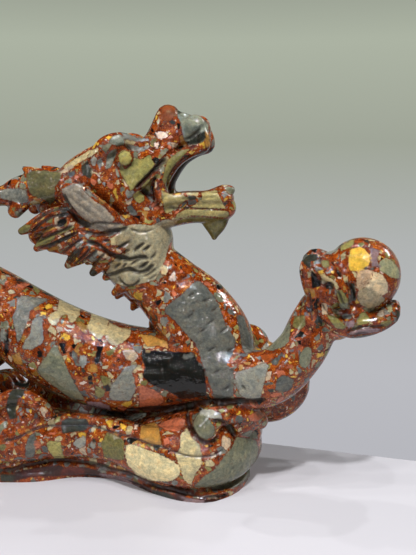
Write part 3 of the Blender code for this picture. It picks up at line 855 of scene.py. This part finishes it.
# The larger fragments on the side that the photograph shows, in its pixels. A few of them are
# painted shade and painted highlights, each marked where it stands.
# painted highlight on the top of the arm by the neck
# painted highlight on the top of the front curl of the base
# painted shade of the fold beside the nostril
# painted shadow under the claw's tip
FRAGMENTS = """
horn 26,174 31,171 40,170 54,171 62,172 60,180 55,188 55,200 50,205 45,200 32,196 28,190 27,181
grey 0,190 8,188 25,189 27,195 29,202 21,204 7,200 0,199
slate 18,209 22,208 23,212 19,213
ear 61,189 70,185 87,182 82,188 88,195 95,201 106,208 116,220 104,225 94,225 85,220 75,212 69,204 \
64,198
ear_light 76,222 87,219 97,220 125,224 120,230 105,232 95,230 81,226
nose 109,141 112,136 119,134 125,140 124,145 117,146 111,144
grey_green 102,146 110,142 111,146 106,153 102,150
slate 120,132 129,132 137,136 149,139 150,141 141,142 132,141 125,139
grey 126,144 132,145 140,147 150,145 149,149 141,152 132,151
grey_green 107,155 112,150 117,149 116,156 110,169 105,169 106,161
light_grey 90,160 94,155 97,159 96,166 92,166
dark 81,166 88,161 90,167 95,170 90,179 82,175
slate 66,174 75,170 76,174 70,178
cream 92,172 101,172 102,175 94,175
cream 97,179 101,179 102,183 98,184
olive_yellow 118,156 120,151 125,150 130,152 132,158 130,164 125,166 120,164
olive_yellow 119,170 121,165 125,169 131,165 134,157 141,160 150,154 155,165 150,172 141,181 \
132,190 130,192 129,187 124,180
olive_yellow 141,186 150,176 151,194 146,195 142,191
olive_yellow 132,195 139,190 144,195 145,200 140,204 135,201
slate 126,207 131,204 138,214 136,216 130,215
yellow 122,215 129,214 130,217 125,219
cream 62,167 76,158 90,150 98,148 99,152 84,160 68,170
pink_grey 58,172 66,168 72,165 74,168 64,174
nose 177,106 185,112 200,115 204,120 209,124 207,136 204,142 195,145 188,145 184,140 182,131 \
180,122 177,115
dark 177,108 181,108 181,114 178,114
dark 186,142 192,139 199,134 205,131 206,137 201,143 193,145
brown 162,107 168,103 176,105 175,114 171,121 165,122 160,117
ochre 206,133 209,131 211,147 206,148 205,142
pink_white 155,132 163,131 169,135 165,139 158,139
pink_white 154,141 160,142 158,149 154,148
pink_grey 171,142 178,143 177,148 172,148
olive 162,180 167,160 180,150 190,149 175,165 169,175 166,187
slate 170,189 171,177 178,167 189,158 203,151 211,150.5 200,158 189,167 181,178 178,190
jaw 161,190 166,192 173,195 184,195 188,199 181,204 176,209 170,213 165,214 163,204
jaw 201,192 217,190 220,197 226,209 190,208 196,203 202,199
jaw 184,209 206,209.5 228,211 230,216 224,218 204,216 190,216 178,219 173,222 177,214
dark 187,196 195,195 197,199 189,201
grey_green 224,187 230,186 236,189 235,194 230,195 226,191
olive 178,220 190,217 204,217 224,219 229,217 225,228 215,241 207,237 200,226 192,222 183,223 \
176,225
throat 119,226 138,224 152,225 166,219 175,221 174,235 169,246 166,258 161,270 155,280 138,285 \
125,287 112,282 106,272 116,257 130,251 117,245 120,236
olive 17,232 22,225 32,224 29,231 21,235
olive 34,247 38,239 50,236 56,234 54,240 44,246
black 58,220 66,217 67,223 61,228 57,226
black 44,228 52,225 52,229 45,232
grey 84,236 90,230 93,234 88,240
grey 92,255 96,249 99,253 95,259
yellow 47,227 53,226 52,231 47,231
ochre 36,234 44,230 54,226 55,229 45,233 38,238
dark 60,214 66,212 70,214 64,217 57,219
olive 56,233 66,228 74,225 75,228 66,232 57,236
dark 50,243 60,239 70,234 72,237 62,242 52,246
ochre 42,252 50,248 58,245 60,248 52,252 44,255
grey 74,246 80,240 84,242 78,249
dark 66,259 72,253 78,248 80,251 74,257 68,262
salmon 62,252 68,247 72,249 66,254
pink_grey 96,250 103,252 112,258 108,260 99,256
fawn 112,237 120,233 130,236 129,243 119,246 112,244
fawn 108,262 118,261 126,264 122,268 112,270
peach 160,268 166,265 168,272 162,276
cream 110,262 118,262 124,260 122,264 112,267
cream 110,238 115,236 116,246 111,245
pink_white 174,269 177,280 173,282 168,280
cream 162,266 169,265 167,275 162,275
slate 196,280 205,285 214,296 220,307 226,326 236,339 235,347 232,355 227,365 234,370 234,395 \
227,400 215,399 210,386 205,370 201,362 199,352 194,342 184,332 175,321 164,312 166,306 174,300 \
182,294 190,286
slate 236,314 244,316 247,326 252,339 260,349 259,352 252,352 246,355 242,349 240,335
grey 235,372 247,369 265,362 269,365 266,377 262,392 261,400 247,400 240,395 236,385
grey_green 267,341 277,337 290,321 291,329 289,342 284,347 272,351 262,349
light_grey 260,350 267,341 270,350 266,352
orange 260,355 276,352 272,360 266,364 261,359
slate 270,362 285,350 282,357 276,366
salmon 226,301 231,300 233,303 228,305
yellow 205,277 211,277 210,280 206,280
black 215,284 222,284 223,289 217,290
cream 212,281 216,282 215,285 212,285
olive_yellow 249,325 252,332 260,344 257,346 251,337
black 142,347 147,350 170,351 182,352 194,352 197,360 204,367 206,382 207,396 190,399 180,399 \
170,392 162,389 150,384 142,376 145,367 141,357
slate 182,357 192,352 194,356 187,360
salmon 139,384 150,388 160,393 165,401 156,407 147,413 139,409
grey_green 305,347 311,347 312,355 310,365 305,369 299,365 299,355
slate 279,376 285,375 294,380 292,389 286,392 275,391 276,382
olive 294,316 305,315 306,325 300,330 292,327
salmon 270,393 281,392 282,396 271,398
salmon 16,284 30,282 30,285 22,289 16,286
olive 32,284 37,287 41,291 37,295 34,291
cream 7,290 13,289 16,293 10,296
cream 0,275 5,275 7,279 2,281
dark 15,279 26,279 26,282 16,282
dark 47,290 59,291 60,296 49,296
grey 17,299 22,295 32,297 50,299 41,304 30,311 29,319 25,327 21,339 17,344 16,335 14,325 12,316 \
16,310
grey 32,321 37,316 43,317 43,327 44,340 41,345 36,347 31,350 21,349 25,340 30,334
yellow 44,306 49,303 54,306 51,309 45,309
yellow 40,311 47,312 47,316 41,315
cream 59,299 66,300 80,304 81,307 80,315 72,324 69,322 67,315 62,315 57,325 52,326 47,320 50,314 \
57,310
ochre 75,322 80,321 87,326 87,335 82,332
cream 91,312 100,315 109,320 106,331 104,336 100,340 95,337 89,332 87,326 90,320
cream 109,322 120,327 132,330 130,336 124,342 116,346 109,344 105,337 106,331
ochre 139,334 150,335 167,341 169,349 159,346 147,347
grey_green 57,340 59,350 64,360 69,372 75,384 80,392 86,400 75,400 65,395 55,387 45,380 36,371 \
39,366 46,356 52,347
slate 71,350 75,351 80,366 76,367 72,357
grey 80,355 87,355 87,364 82,369 79,362
black 96,346 104,346 102,352 99,364 94,365 94,359 97,352
black 87,375 92,375 93,386 89,385
black 37,351 42,350 43,357 38,358
olive 100,376 106,375 112,380 109,385 102,386
olive 95,385 106,390 104,396 99,399 95,395
grey 119,375 125,367 134,364 139,364 132,372 135,380 136,390 130,401 120,401 109,400 109,392 112,384
pink_grey 121,352 127,349 135,350 139,356 135,362 127,360
black 5,334 9,333 9,352 6,359 4,352
grey 0,329 5,327 6,339 0,346
ochre 11,356 19,352 24,365 15,364
mauve 87,401 100,402 110,406 112,414 100,415 87,409
olive 101,444 107,432 116,435 124,440 124,460 116,460 104,457
ochre 141,425 155,422 159,427 161,440 162,446 150,444 139,439
salmon 157,425 165,421 177,417 186,420 184,427 177,432 165,430
pale 180,435 187,427 192,437 200,445 202,456 201,467 195,475 191,486 184,480 181,470 175,454 180,449
pale 126,445 132,444 152,451 170,459 180,466 180,476 170,482 150,481 136,475 127,464 125,455
grey_green 232,447 236,437 241,437 256,440 259,449 257,460 250,477 237,487 220,490 200,487 \
194,486 204,476 215,469 225,455
cream 204,460 212,460 216,465 211,467 204,466
pink_grey 222,434 231,439 231,445 226,451 221,445
grey_green 192,415 202,411 210,420 215,427 214,436 206,440 199,437 192,427
light_grey 199,409 212,409 221,413 223,420 214,419 207,417 200,413
salmon 247,416 257,411 266,407 266,415 257,422 250,421
grey_green 240,435 250,430 256,431 259,440
mauve 100,473 125,477 147,487 143,491 122,482 100,477
umber 14,472 22,471 24,479 14,481
umber 40,467 62,465 62,476 41,477
umber 84,467 100,471 100,477 84,475
umber 126,479 150,487 152,494 143,490
umber 176,490 184,493 184,503 176,501
umber 203,499 232,499 236,503 210,506 203,506
plum 62,468 84,467 84,475 62,476
dark 150,489 168,493 176,497 172,502 152,494
mauve 182,497 205,500 203,507 184,503
grey_green 232,500 246,492 254,480 257,482 250,495 238,503
dark 0,474 14,474 14,482 0,482
plum 22,470 40,467 41,476 24,478
yellow 120,422 127,426 126,431 121,429
pink_white 134,424 139,424 137,430 134,429
cream 100,426 106,425 107,430 101,431
slate 25,447 29,436 35,432 36,440 35,455 30,459 25,456
salmon 35,440 41,442 42,447 39,450 35,445
olive_yellow 46,444 50,440 61,442 62,450 65,459 55,459 49,452
dark 62,420 70,418 87,419 89,424 86,431 75,432 62,434 61,425
grey 75,440 86,434 86,445 80,449 72,445
grey 89,445 92,440 96,445 94,451
olive_yellow 54,420 61,414 60,421 55,424
dark 7,399 10,392 16,387 25,388 24,395 18,400 16,410 17,418 10,420 6,411
dark 12,384 20,380 30,381 28,388 20,387
slate 33,414 37,413 38,418 34,419
yellow 350,250 360,246 365,249 370,255 370,264 362,270 354,272 349,270 348,260
peach 357,272 366,269 374,271 371,279 366,287 358,290 356,284
pearl 374,271 383,275 388,283 388,293 382,296 373,290 366,287 371,279
fawn 358,290 366,287 373,290 382,296 386,299 379,306 370,309 362,306 357,299
sage 361,308 371,308 376,309 369,313
sage 379,262 386,257 393,261 399,269 400,279 392,278 385,274 379,270
olive_yellow 340,246 350,240 356,239 352,247 342,251 340,250
cream 340,255 346,251 346,259 341,261
dark 362,239 369,240 370,244 365,242
mauve 370,247 380,250 377,260 380,267 371,266
grey 320,250 330,250 340,245 337,251 330,255 321,252
dark 302,252 310,251 319,256 317,260 311,262 310,269 305,265 301,260
black 311,271 316,274 317,279 322,281 320,286 312,289 311,279
cream 317,272 325,274 332,279 336,282 340,287 337,290 330,282 322,284 321,277
olive 321,260 329,260 330,266 325,269 321,265
yellow 317,270 324,270 324,274 318,273
yellow 330,270 335,270 335,274 331,274
dark 325,285 334,284 334,289 326,289
olive 336,290 342,290 349,300 347,305 340,304 337,297
dark 350,282 355,283 356,300 351,301
grey_green 338,303 349,303 351,309 340,309
cream 331,309 338,309 340,314 334,314
olive_yellow 326,315 334,315 347,327 344,329 336,329 331,322
slate 341,315 346,313 352,315 352,319 343,319
olive_yellow 361,312 366,313 372,320 366,325 356,325 357,319
pink_grey 376,316 380,309 384,310 384,317
mauve 343,321 350,321 355,318 354,327 348,328
mauve 346,334 352,331 364,328 382,328 378,332 366,334 354,335
slate 350,337 364,335 376,334 370,338 356,339
dark 395,309 400,312 401,318 397,320
olive 380,322 388,320 394,321 388,326 381,327
sage 386,303 392,305 393,312 388,313
pink_grey 321,303 327,303 328,314 322,315
"""


def outline_distance(pixels, outline):
    """How far pixels are outside an outline, or inside it where that is less than nothing."""
    best = np.full(len(pixels), np.inf)
    inside = np.zeros(len(pixels), dtype=bool)
    for start, end in zip(outline, np.roll(outline, -1, axis=0)):
        best = np.minimum(best, to_segment(pixels, start, end)[1])
        if start[1] != end[1]:
            spans = (start[1] > pixels[:, 1]) != (end[1] > pixels[:, 1])
            run, rise = end - start
            crossing = start[0] + (pixels[:, 1] - start[1]) * run / rise
            inside ^= spans & (pixels[:, 0] < crossing)
    return np.where(inside, -best, best)


def as_light(tint):
    """A colour from 0 to 255 as it looks on a screen, as the light that a node takes."""
    share = np.asarray(tint) / 255.0
    linear = np.where(share <= 0.04045, share / 12.92, ((share + 0.055) / 1.055) ** 2.4)
    return (*linear, 1)


def write_attribute(mesh, name, kind, values):
    attribute = mesh.attributes.new(name, kind, "POINT")
    field = "color" if kind == "FLOAT_COLOR" else "value"
    attribute.data.foreach_set(field, np.ascontiguousarray(values, dtype=np.float32).ravel())


def lay_out_fragments(mesh):
    """Writes each vertex's distance to a fragment's edge, its tint and how well it shows."""
    seen = Seen(PHOTO, mesh, tree_of(mesh))
    edge = np.full(len(seen.pixels), NO_FRAGMENT)
    tint = np.zeros((len(seen.pixels), 4))
    for number, row in enumerate(written_rows(FRAGMENTS), 1):
        name, pixels = row.split(" ", 1)
        outline = numbers(pixels)
        middle = outline.mean(axis=0)
        level = seen.depths_along(np.vstack([outline, middle]))
        if level is None:
            continue
        size = np.linalg.norm(outline - middle, axis=1).max()
        near = np.flatnonzero(
            (seen.shows > FRAGMENT_SHOWS)
            & seen.around(outline, FRAGMENT_MARGIN)
            & (abs(seen.depth - np.median(level)) < SAME_SURFACE + DEPTH_BY_SIZE * size)
        )
        far = outline_distance(seen.pixels[near], outline)
        wins = (far < edge[near]) | (far < 0)
        near, far = near[wins], far[wins]
        edge[near] = np.minimum(edge[near], far)
        tint[near] = as_light(TINTS[name])
        tint[near, 3] = number * GOLDEN_SHARE % 1
    write_attribute(mesh, "fragment_edge", "FLOAT", edge)
    write_attribute(mesh, "fragment_tint", "FLOAT_COLOR", tint)
    in_frame = smooth_step(*LEFT_EDGE, seen.pixels[:, 0])
    write_attribute(mesh, "shown", "FLOAT", seen.shows * in_frame)


class Graph:
    """Short ways to build nodes."""

    def __init__(self, tree):
        self.tree = tree

    def node(self, kind, inputs=(), **settings):
        made = self.tree.nodes.new("ShaderNode" + kind)
        for name, value in settings.items():
            setattr(made, name, value)
        for key, value in dict(inputs).items():
            self.feed(made.inputs[key], value)
        return made

    def feed(self, socket, value):
        if isinstance(value, bpy.types.NodeSocket):
            self.tree.links.new(value, socket)
        elif value is not None:
            socket.default_value = value

    def attribute(self, name, output="Fac"):
        return self.node("Attribute", attribute_name=name).outputs[output]

    def parts(self, colour):
        return self.node("SeparateColor", {0: colour}).outputs

    def math(self, operation, *values):
        return self.node("Math", enumerate(values), operation=operation).outputs[0]

    def plus(self, a, b):
        return self.math("ADD", a, b)

    def times(self, a, b):
        return self.math("MULTIPLY", a, b)

    def vector(self, operation, *values, scale=None):
        inputs = dict(enumerate(values))
        if scale is not None:
            inputs["Scale"] = scale
        return self.node("VectorMath", inputs, operation=operation).outputs[0]

    def ramp(self, value, low, high, to_low=0.0, to_high=1.0):
        inputs = {0: value, 1: low, 2: high, 3: to_low, 4: to_high}
        return self.node("MapRange", inputs).outputs[0]

    def blend(self, factor, a, b, kind="MIX"):
        inputs = {"Factor": factor, 6: a, 7: b}
        return self.node("Mix", inputs, data_type="RGBA", blend_type=kind).outputs[2]

    def noise(self, place, scale, detail, roughness=0.5, distortion=0.0, output="Fac"):
        inputs = {"Vector": place, "Scale": scale, "Detail": detail}
        inputs |= {"Roughness": roughness, "Distortion": distortion}
        return self.node("TexNoise", inputs).outputs[output]

    def palette(self, value, tints, smooth=False):
        """A colour picked by a value: tints are (share of the range, tint)."""
        made = self.node("ValToRGB", {0: value})
        made.color_ramp.interpolation = "LINEAR" if smooth else "CONSTANT"
        stops = made.color_ramp.elements
        total = sum(share for share, _ in tints)
        at = 0.0
        for i, (share, tint) in enumerate(tints):
            stop = stops[i] if i < 2 else stops.new(min(at, 1.0))
            stop.position = min(at, 1.0)
            stop.color = as_light(tint)
            at += share / total
        return made.outputs[0]


def new_material(name):
    """A material, its graph and its shader."""
    material = bpy.data.materials.new(name)
    material.use_nodes = True
    tree = material.node_tree
    return material, Graph(tree), tree.nodes["Principled BSDF"]


def shares(text):
    """Tints and their shares, written as 'tint share, tint share, ...'."""
    pairs = [pair.split() for pair in text.split(",")]
    return [(float(share), TINTS[name]) for name, share in pairs]


# The tints of small, medium and large broken pieces, and of the ground from dark to light
SMALL = shares(
    "dark 5, slate 4, ochre 5, cream 4, yellow 3, plum 3, salmon 4, grey 3, olive 3, orange 3,"
    "pink_white 2, black 3"
)
MEDIUM = shares(
    "slate 5, grey 5, grey_green 4, olive 4, cream 5, black 3, salmon 3, yellow 2, ochre 3,"
    "pink_grey 3, dark 3, olive_yellow 3"
)
LARGE = shares(
    "grey_green 5, slate 5, grey 4, cream 4, black 2, olive 3, throat 2, pink_grey 2"
)
GROUND = [
    (3, (20, 9, 6)), (3, (64, 23, 8)), (4, (108, 42, 11)), (3, (146, 63, 14)),
    (1.5, (182, 100, 30)), (0, (208, 142, 58)),
]

# Layers of broken pieces: where in the pattern they are taken, their size in mm, the share of
# places that hold one, their tints, how widely the gaps between them vary, and whether they stay
# off the side where the fragments are laid out
LAYERS = [
    ((3, 7, 1), 1.5, 0.26, SMALL, 0.20, False),
    ((11, 2, 5), 3.2, 0.46, SMALL, 0.24, False),
    ((5, 17, 9), 7.0, 0.60, MEDIUM, 0.22, False),
    ((8, 1, 23), 14.0, 0.42, MEDIUM, 0.22, True),
    ((31, 12, 4), 27.0, 0.38, LARGE, 0.14, True),
]

# Pieces from this size up take on all of the mottling, in mm
FULL_SIZE = 7
LEAST_GAP = 0.03

# How far the pieces' outlines are bent, widely and finely, in mm, and how ragged the laid-out
# ones are, in pixels
WIDE_BEND, FINE_BEND, RAGGED_EDGE = 9.0, 1.5, 3.0

# The polish: the index of refraction, the share that shines, the roughness from clean to worn and
# what a recess adds to it, and the strength and the height in metres of the surface's waviness
IOR = 1.5
SHINE = 0.38
ROUGHNESS = (0.025, 0.08)
RECESS_ROUGHNESS = 0.25
WAVINESS, WAVE_HEIGHT = 0.65, 0.0012

# How far a recess and a narrow gap take on their painted shade, and a stain its colour
RECESS_SHADE_SHARE, GAP_SHADE_SHARE, STAIN_SHARE = 0.80, 0.80, 0.5

# What is mixed into the stone: at the laid-out fragments' rims and in the veins, and as painted
# shade in the recesses
RIM, VEIN, PAINTED_RECESS_SHADE = map(as_light, ((84, 30, 14), (92, 40, 22), (25, 17, 12)))

# What it is multiplied with: in warm and cool patches and in the stains, and as painted shade in
# narrow gaps
WARM, COOL = map(as_light, ((255, 238, 208), (212, 216, 214)))
STAIN, PAINTED_GAP_SHADE = map(as_light, ((206, 132, 84), (124, 98, 84)))


def fragment_layer(g, place, size, share, tints, gap):
    """Broken pieces of about one size: their mask, tint and a random number for each."""
    cells = {"Vector": place, "Scale": 1 / size, "Randomness": 1.0}
    cell = g.node("TexVoronoi", cells, feature="F1").outputs["Color"]
    border = g.node("TexVoronoi", cells, feature="DISTANCE_TO_EDGE").outputs["Distance"]
    there, pick, random = g.parts(cell)
    margin = g.math("MULTIPLY_ADD", random, gap, LEAST_GAP)
    inside = g.ramp(g.math("SUBTRACT", border, margin), 0.0, 0.25 / size + 0.03)
    mask = g.times(g.math("LESS_THAN", there, share), inside)
    return mask, g.palette(pick, tints), random


def mottled(g, colour, place, bent, wide, top, random):
    """Mottling, fine bands, stains and veins, which are stronger within the fragments."""
    patches = g.noise(g.vector("ADD", bent, (40, 9, 3)), 0.16, 4.0, 0.62, 0.6)
    warm = g.blend(1.0, colour, WARM, "MULTIPLY")
    cool = g.blend(1.0, colour, COOL, "MULTIPLY")
    within = g.blend(g.ramp(patches, 0.40, 0.62), cool, warm)
    colour = g.blend(g.times(top, 0.55), colour, within)

    mottle = g.plus(g.noise(place, 0.45, 6.0, 0.68), g.times(patches, 0.7))
    bright = g.ramp(g.plus(mottle, g.times(random, 0.3)), 0.72, 1.25, 0.58, 1.34)
    layered = {
        "Vector": g.vector("ADD", bent, g.vector("SCALE", wide, scale=7.0)),
        "Rotation": (0.5, 0.35, 0.2),
        "Scale": (0.09, 0.16, 0.62),
    }
    turned = g.node("Mapping", layered, vector_type="POINT").outputs[0]
    band = g.ramp(g.noise(turned, 1.0, 5.0, 0.68), 0.33, 0.67, 0.82, 1.16)
    grain = g.ramp(g.noise(place, 2.4, 4.0, 0.75), 0.36, 0.64, 0.76, 1.20)
    tone = g.ramp(top, 0.0, 1.0, 1.0, g.times(g.times(bright, band), grain))
    tone = g.node("CombineColor", {0: tone, 1: tone, 2: tone}).outputs[0]
    colour = g.blend(1.0, colour, tone, "MULTIPLY")

    stain = g.ramp(g.noise(place, 0.22, 4.0, 0.7), 0.58, 0.72)
    colour = g.blend(g.times(stain, STAIN_SHARE), colour, STAIN, "MULTIPLY")
    vein = g.math("ABSOLUTE", g.math("SUBTRACT", g.noise(bent, 0.14, 3.0, 0.55, 0.8), 0.5))
    veined = g.times(top, g.ramp(patches, 0.5, 0.6))
    return g.blend(g.times(g.ramp(vein, 0.0, 0.006, 0.45, 0.0), veined), colour, VEIN)


def breccia():
    """Polished breccia: grey, green, cream and black fragments in a red-orange ground."""
    material, g, shader = new_material("breccia")
    place = g.vector("SCALE", g.node("TexCoord").outputs["Object"], scale=1000.0)
    wide, fine = (
        g.vector("SUBTRACT", g.noise(place, scale, detail, output="Color"), (0.5, 0.5, 0.5))
        for scale, detail in ((0.09, 2.0), (0.6, 3.0))
    )
    bent = g.vector("ADD", place, g.vector("SCALE", wide, scale=WIDE_BEND))
    bent = g.vector("ADD", bent, g.vector("SCALE", fine, scale=FINE_BEND))
    ragged = g.node("SeparateXYZ", {0: fine}).outputs[0]
    shown = g.plus(g.attribute("shown"), g.times(ragged, 0.5))
    covered = g.math("GREATER_THAN", shown, 0.25)
    uncovered = g.math("SUBTRACT", 1.0, covered)

    # The ground, and the broken pieces in it from the smallest up
    cloud, grit = g.noise(place, 0.16, 5.0, 0.65), g.noise(place, 1.1, 3.0, 0.7)
    mixed = g.plus(g.times(cloud, 0.55), g.times(grit, 0.5))
    colour = g.palette(g.ramp(mixed, 0.36, 0.68), GROUND, smooth=True)
    shade, top = (0.5, 0.5, 0.5, 1), 0.0
    for offset, size, share, tints, gap, off_laid in LAYERS:
        moved = g.vector("ADD", bent, offset)
        mask, tint, random = fragment_layer(g, moved, size, share, tints, gap)
        if off_laid:
            mask = g.times(mask, uncovered)
        colour = g.blend(mask, colour, tint)
        shade = g.blend(mask, shade, random)
        top = g.math("MAXIMUM", top, g.times(mask, min(1.0, size / FULL_SIZE)))

    # The fragments laid out by the photograph
    rough_edge = g.plus(g.attribute("fragment_edge"), g.times(ragged, RAGGED_EDGE))
    laid = g.times(g.ramp(rough_edge, -0.35, 0.1, 1.0, 0.0), covered)
    colour = g.blend(laid, colour, g.attribute("fragment_tint", "Color"))
    shade = g.blend(laid, shade, g.attribute("fragment_tint", "Alpha"))
    top = g.math("MAXIMUM", top, laid)
    rim = g.ramp(g.math("ABSOLUTE", rough_edge), 0.25, 0.9, 0.5, 0.0)
    colour = g.blend(g.times(rim, covered), colour, RIM)
    colour = mottled(g, colour, place, bent, wide, top, g.parts(shade)[0])

    # Cut lines and folds get painted shade and are less polished, and narrow gaps get painted shade
    recess = g.attribute("recess")
    colour = g.blend(g.times(recess, RECESS_SHADE_SHARE), colour, PAINTED_RECESS_SHADE)
    # Painted shade where the surface is hemmed in by other parts
    gap = g.ramp(g.attribute("open"), 0.28, 0.86, GAP_SHADE_SHARE, 0.0)
    colour = g.blend(gap, colour, PAINTED_GAP_SHADE, "MULTIPLY")
    g.feed(shader.inputs["Base Color"], colour)
    gloss = g.ramp(g.noise(place, 0.35, 3.0, 0.6), 0.3, 0.75, *ROUGHNESS)
    g.feed(shader.inputs["Roughness"], g.math("MULTIPLY_ADD", recess, RECESS_ROUGHNESS, gloss))
    shader.inputs["IOR"].default_value = IOR
    shader.inputs["Specular IOR Level"].default_value = SHINE
    ripple, pits = g.noise(place, 0.24, 2.0, 0.5), g.noise(place, 1.3, 2.0, 0.6)
    relief = g.plus(g.times(ripple, 0.9), g.times(pits, 0.06))
    bump = g.node("Bump", {"Strength": WAVINESS, "Distance": WAVE_HEIGHT, "Height": relief})
    g.feed(shader.inputs["Normal"], bump.outputs[0])
    return material


def carving():
    """The whole carving as one piece."""
    rough = with_modifiers(
        joined_forms(),
        ("REMESH", {"mode": "VOXEL", "voxel_size": VOXEL}),
        ("SMOOTH", {"factor": SMOOTHING, "iterations": SMOOTHING_STEPS}),
    )
    seen, recess = carve(rough)
    flatten_underside(rough)
    places = KDTree(len(rough.vertices))
    for i, point in enumerate(points_of(rough)):
        places.insert(point, i)
    places.balance()

    thinning = {
        "ratio": min(1.0, TRIANGLES / (2 * len(rough.polygons))),
        "use_collapse_triangulate": True,
        "vertex_group": "kept",
        "invert_vertex_group": True,
        "vertex_group_factor": KEPT_FACTOR,
    }
    kept = np.flatnonzero(seen.shows > KEPT_SHOWS)
    mesh = with_modifiers(rough, ("DECIMATE", thinning), kept=kept)
    flatten_underside(mesh)
    lay_out_fragments(mesh)
    nearest = [places.find(point)[1] for point in points_of(mesh)]
    # The recess darkens the colour in the material as painted shade, and raises its roughness
    write_attribute(mesh, "recess", "FLOAT", recess[nearest])
    # How open each vertex is, which the material uses for painted shade in narrow gaps
    write_attribute(mesh, "open", "FLOAT", openness(mesh))
    bring_to_size(mesh)
    mesh.name = "dragon_carving"
    mesh.shade_smooth()
    mesh.materials.append(breccia())
    piece = placed("dragon_carving", mesh)
    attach(piece, "root")
    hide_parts("dragon")


def turn_toward(thing, way):
    """Turns a camera or a lamp to look along a direction."""
    thing.rotation_euler = Vector(way).to_track_quat("-Z", "Y").to_euler()


def photo_camera():
    """The photograph's camera."""
    data = bpy.data.cameras.new("camera")
    data.sensor_width = SENSOR_MM
    data.lens = FOCAL / PHOTO_HEIGHT * SENSOR_MM
    data.clip_start, data.clip_end = CLIPPING_M
    camera = placed("camera", data)
    camera.location = PHOTO.place * UNIT
    turn_toward(camera, PHOTO.forward)
    bpy.context.scene.camera = camera


# The table's back edge in the photograph's pixels, its size and the tints it wavers between
TABLE_EDGE = ((270.0, 444.0), (416.0, 461.0))
TABLE_HALF_WIDTH, TABLE_LENGTH, TABLE_THICKNESS = 750, 350, 20.0
TABLE_ROUGHNESS = 0.6
TABLE_TINTS = [(1, (191, 189, 197)), (1, (201, 199, 205))]


def table_top():
    """A pale table, whose back edge crosses the view behind the carving."""
    rays = [PHOTO.ray(pixel) for pixel in TABLE_EDGE]
    left, right = ((PHOTO.place - ray * PHOTO.place[2] / ray[2])[:2] for ray in rays)
    along = (right - left) / np.linalg.norm(right - left)
    toward = np.array([along[1], -along[0]])
    middle = left + along * ((AIM[0] - left[0]) * along[0])
    half, length = TABLE_HALF_WIDTH, TABLE_LENGTH
    reaches = ((-half, 0), (half, 0), (half, length), (-half, length))
    corners = [(middle + along * a + toward * b) * UNIT for a, b in reaches]
    bm = bmesh.new()
    heights = (0.0, -TABLE_THICKNESS * UNIT)
    top, bottom = ([bm.verts.new((*corner, z)) for corner in corners] for z in heights)
    bm.faces.new(top)
    bm.faces.new(bottom[::-1])
    for i in range(4):
        j = (i + 1) % 4
        bm.faces.new((top[j], top[i], bottom[i], bottom[j]))
    table = placed("table_top", finished(bm, "table_top"))
    material, g, shader = new_material("table_top")
    grain = g.noise(g.node("TexCoord").outputs["Object"], 4.0, 3.0)
    g.feed(shader.inputs["Base Color"], g.palette(grain, TABLE_TINTS, smooth=True))
    shader.inputs["Roughness"].default_value = TABLE_ROUGHNESS
    table.data.materials.append(material)


# The surroundings' tints from below the horizon to the zenith
SKY = [
    (0.16, (178, 178, 186)), (0.10, (186, 187, 192)), (0.08, (176, 179, 178)),
    (0.08, (160, 165, 152)), (0.10, (172, 179, 163)), (0.10, (120, 124, 116)),
    (0.38, (46, 47, 46)), (0, (46, 47, 46)),
]


def backdrop():
    """Light from all round: grey-green above the horizon, pale lilac at it and below it.

    It is dimmer on the camera's side.
    """
    world = bpy.data.worlds.new("world")
    bpy.context.scene.world = world
    world.use_nodes = True
    g = Graph(world.node_tree)
    way = g.node("SeparateXYZ", {0: g.node("TexCoord").outputs["Generated"]}).outputs
    back = world.node_tree.nodes["Background"]
    g.feed(back.inputs["Color"], g.palette(g.ramp(way[2], -0.5, 1.0), SKY, smooth=True))
    g.feed(back.inputs["Strength"], g.ramp(way[1], 0.15, 0.80, 0.30, 1.0))


# The lamps: name, place and diameter in metres, and power in watts
LAMPS = [
    ("key", (0.386, -0.757, 1.378), 0.08, 15.5),
    ("left", (-0.80, -0.70, 0.75), 0.06, 1.3),
    ("low_left", (-0.82, -0.72, 0.36), 0.08, 1.9),
    ("front", (-0.35, -0.95, 1.05), 0.06, 1.7),
    ("low_front", (-0.12, -1.45, 0.42), 0.035, 0.7),
    ("low_middle", (0.2, -1.45, 0.62), 0.03, 0.5),
    ("low_far_left", (-0.45, -1.4, 0.5), 0.03, 0.5),
    ("low_right", (0.78, -1.25, 0.55), 0.055, 2.2),
    ("back", (1.1, 0.8, 0.95), 0.25, 6.5),
]
LAMPS_AIM = (0.08, 0.0, 0.12)

# The small ones in the ceiling, which are stronger toward the right
SPOTS = ((-0.55, -0.25), (-0.15, -0.45), (0.25, -0.3), (0.6, -0.5), (0.0, 0.4), (0.45, 0.35))
SPOT_HEIGHT, SPOT_AIM_HEIGHT = 1.45, 0.1
SPOT_SIZE = 0.03
SPOT_POWER, SPOT_SLOPE = 1.9, 0.9


def lamp(name, place, target, size, power):
    data = bpy.data.lights.new(name, "AREA")
    data.shape = "DISK"
    data.size = size
    data.energy = power
    made = placed(name, data)
    made.location = place
    turn_toward(made, Vector(target) - Vector(place))


def lights():
    for name, place, size, power in LAMPS:
        lamp(name, place, LAMPS_AIM, size, power)
    for i, (x, y) in enumerate(SPOTS):
        power = SPOT_POWER + SPOT_SLOPE * x
        lamp(f"spot_{i}", (x, y, SPOT_HEIGHT), (x * 0.5, 0.0, SPOT_AIM_HEIGHT), SPOT_SIZE, power)


photo_camera()
carving()
table_top()
backdrop()
lights()
bpy.context.scene.view_settings.view_transform = "Standard"
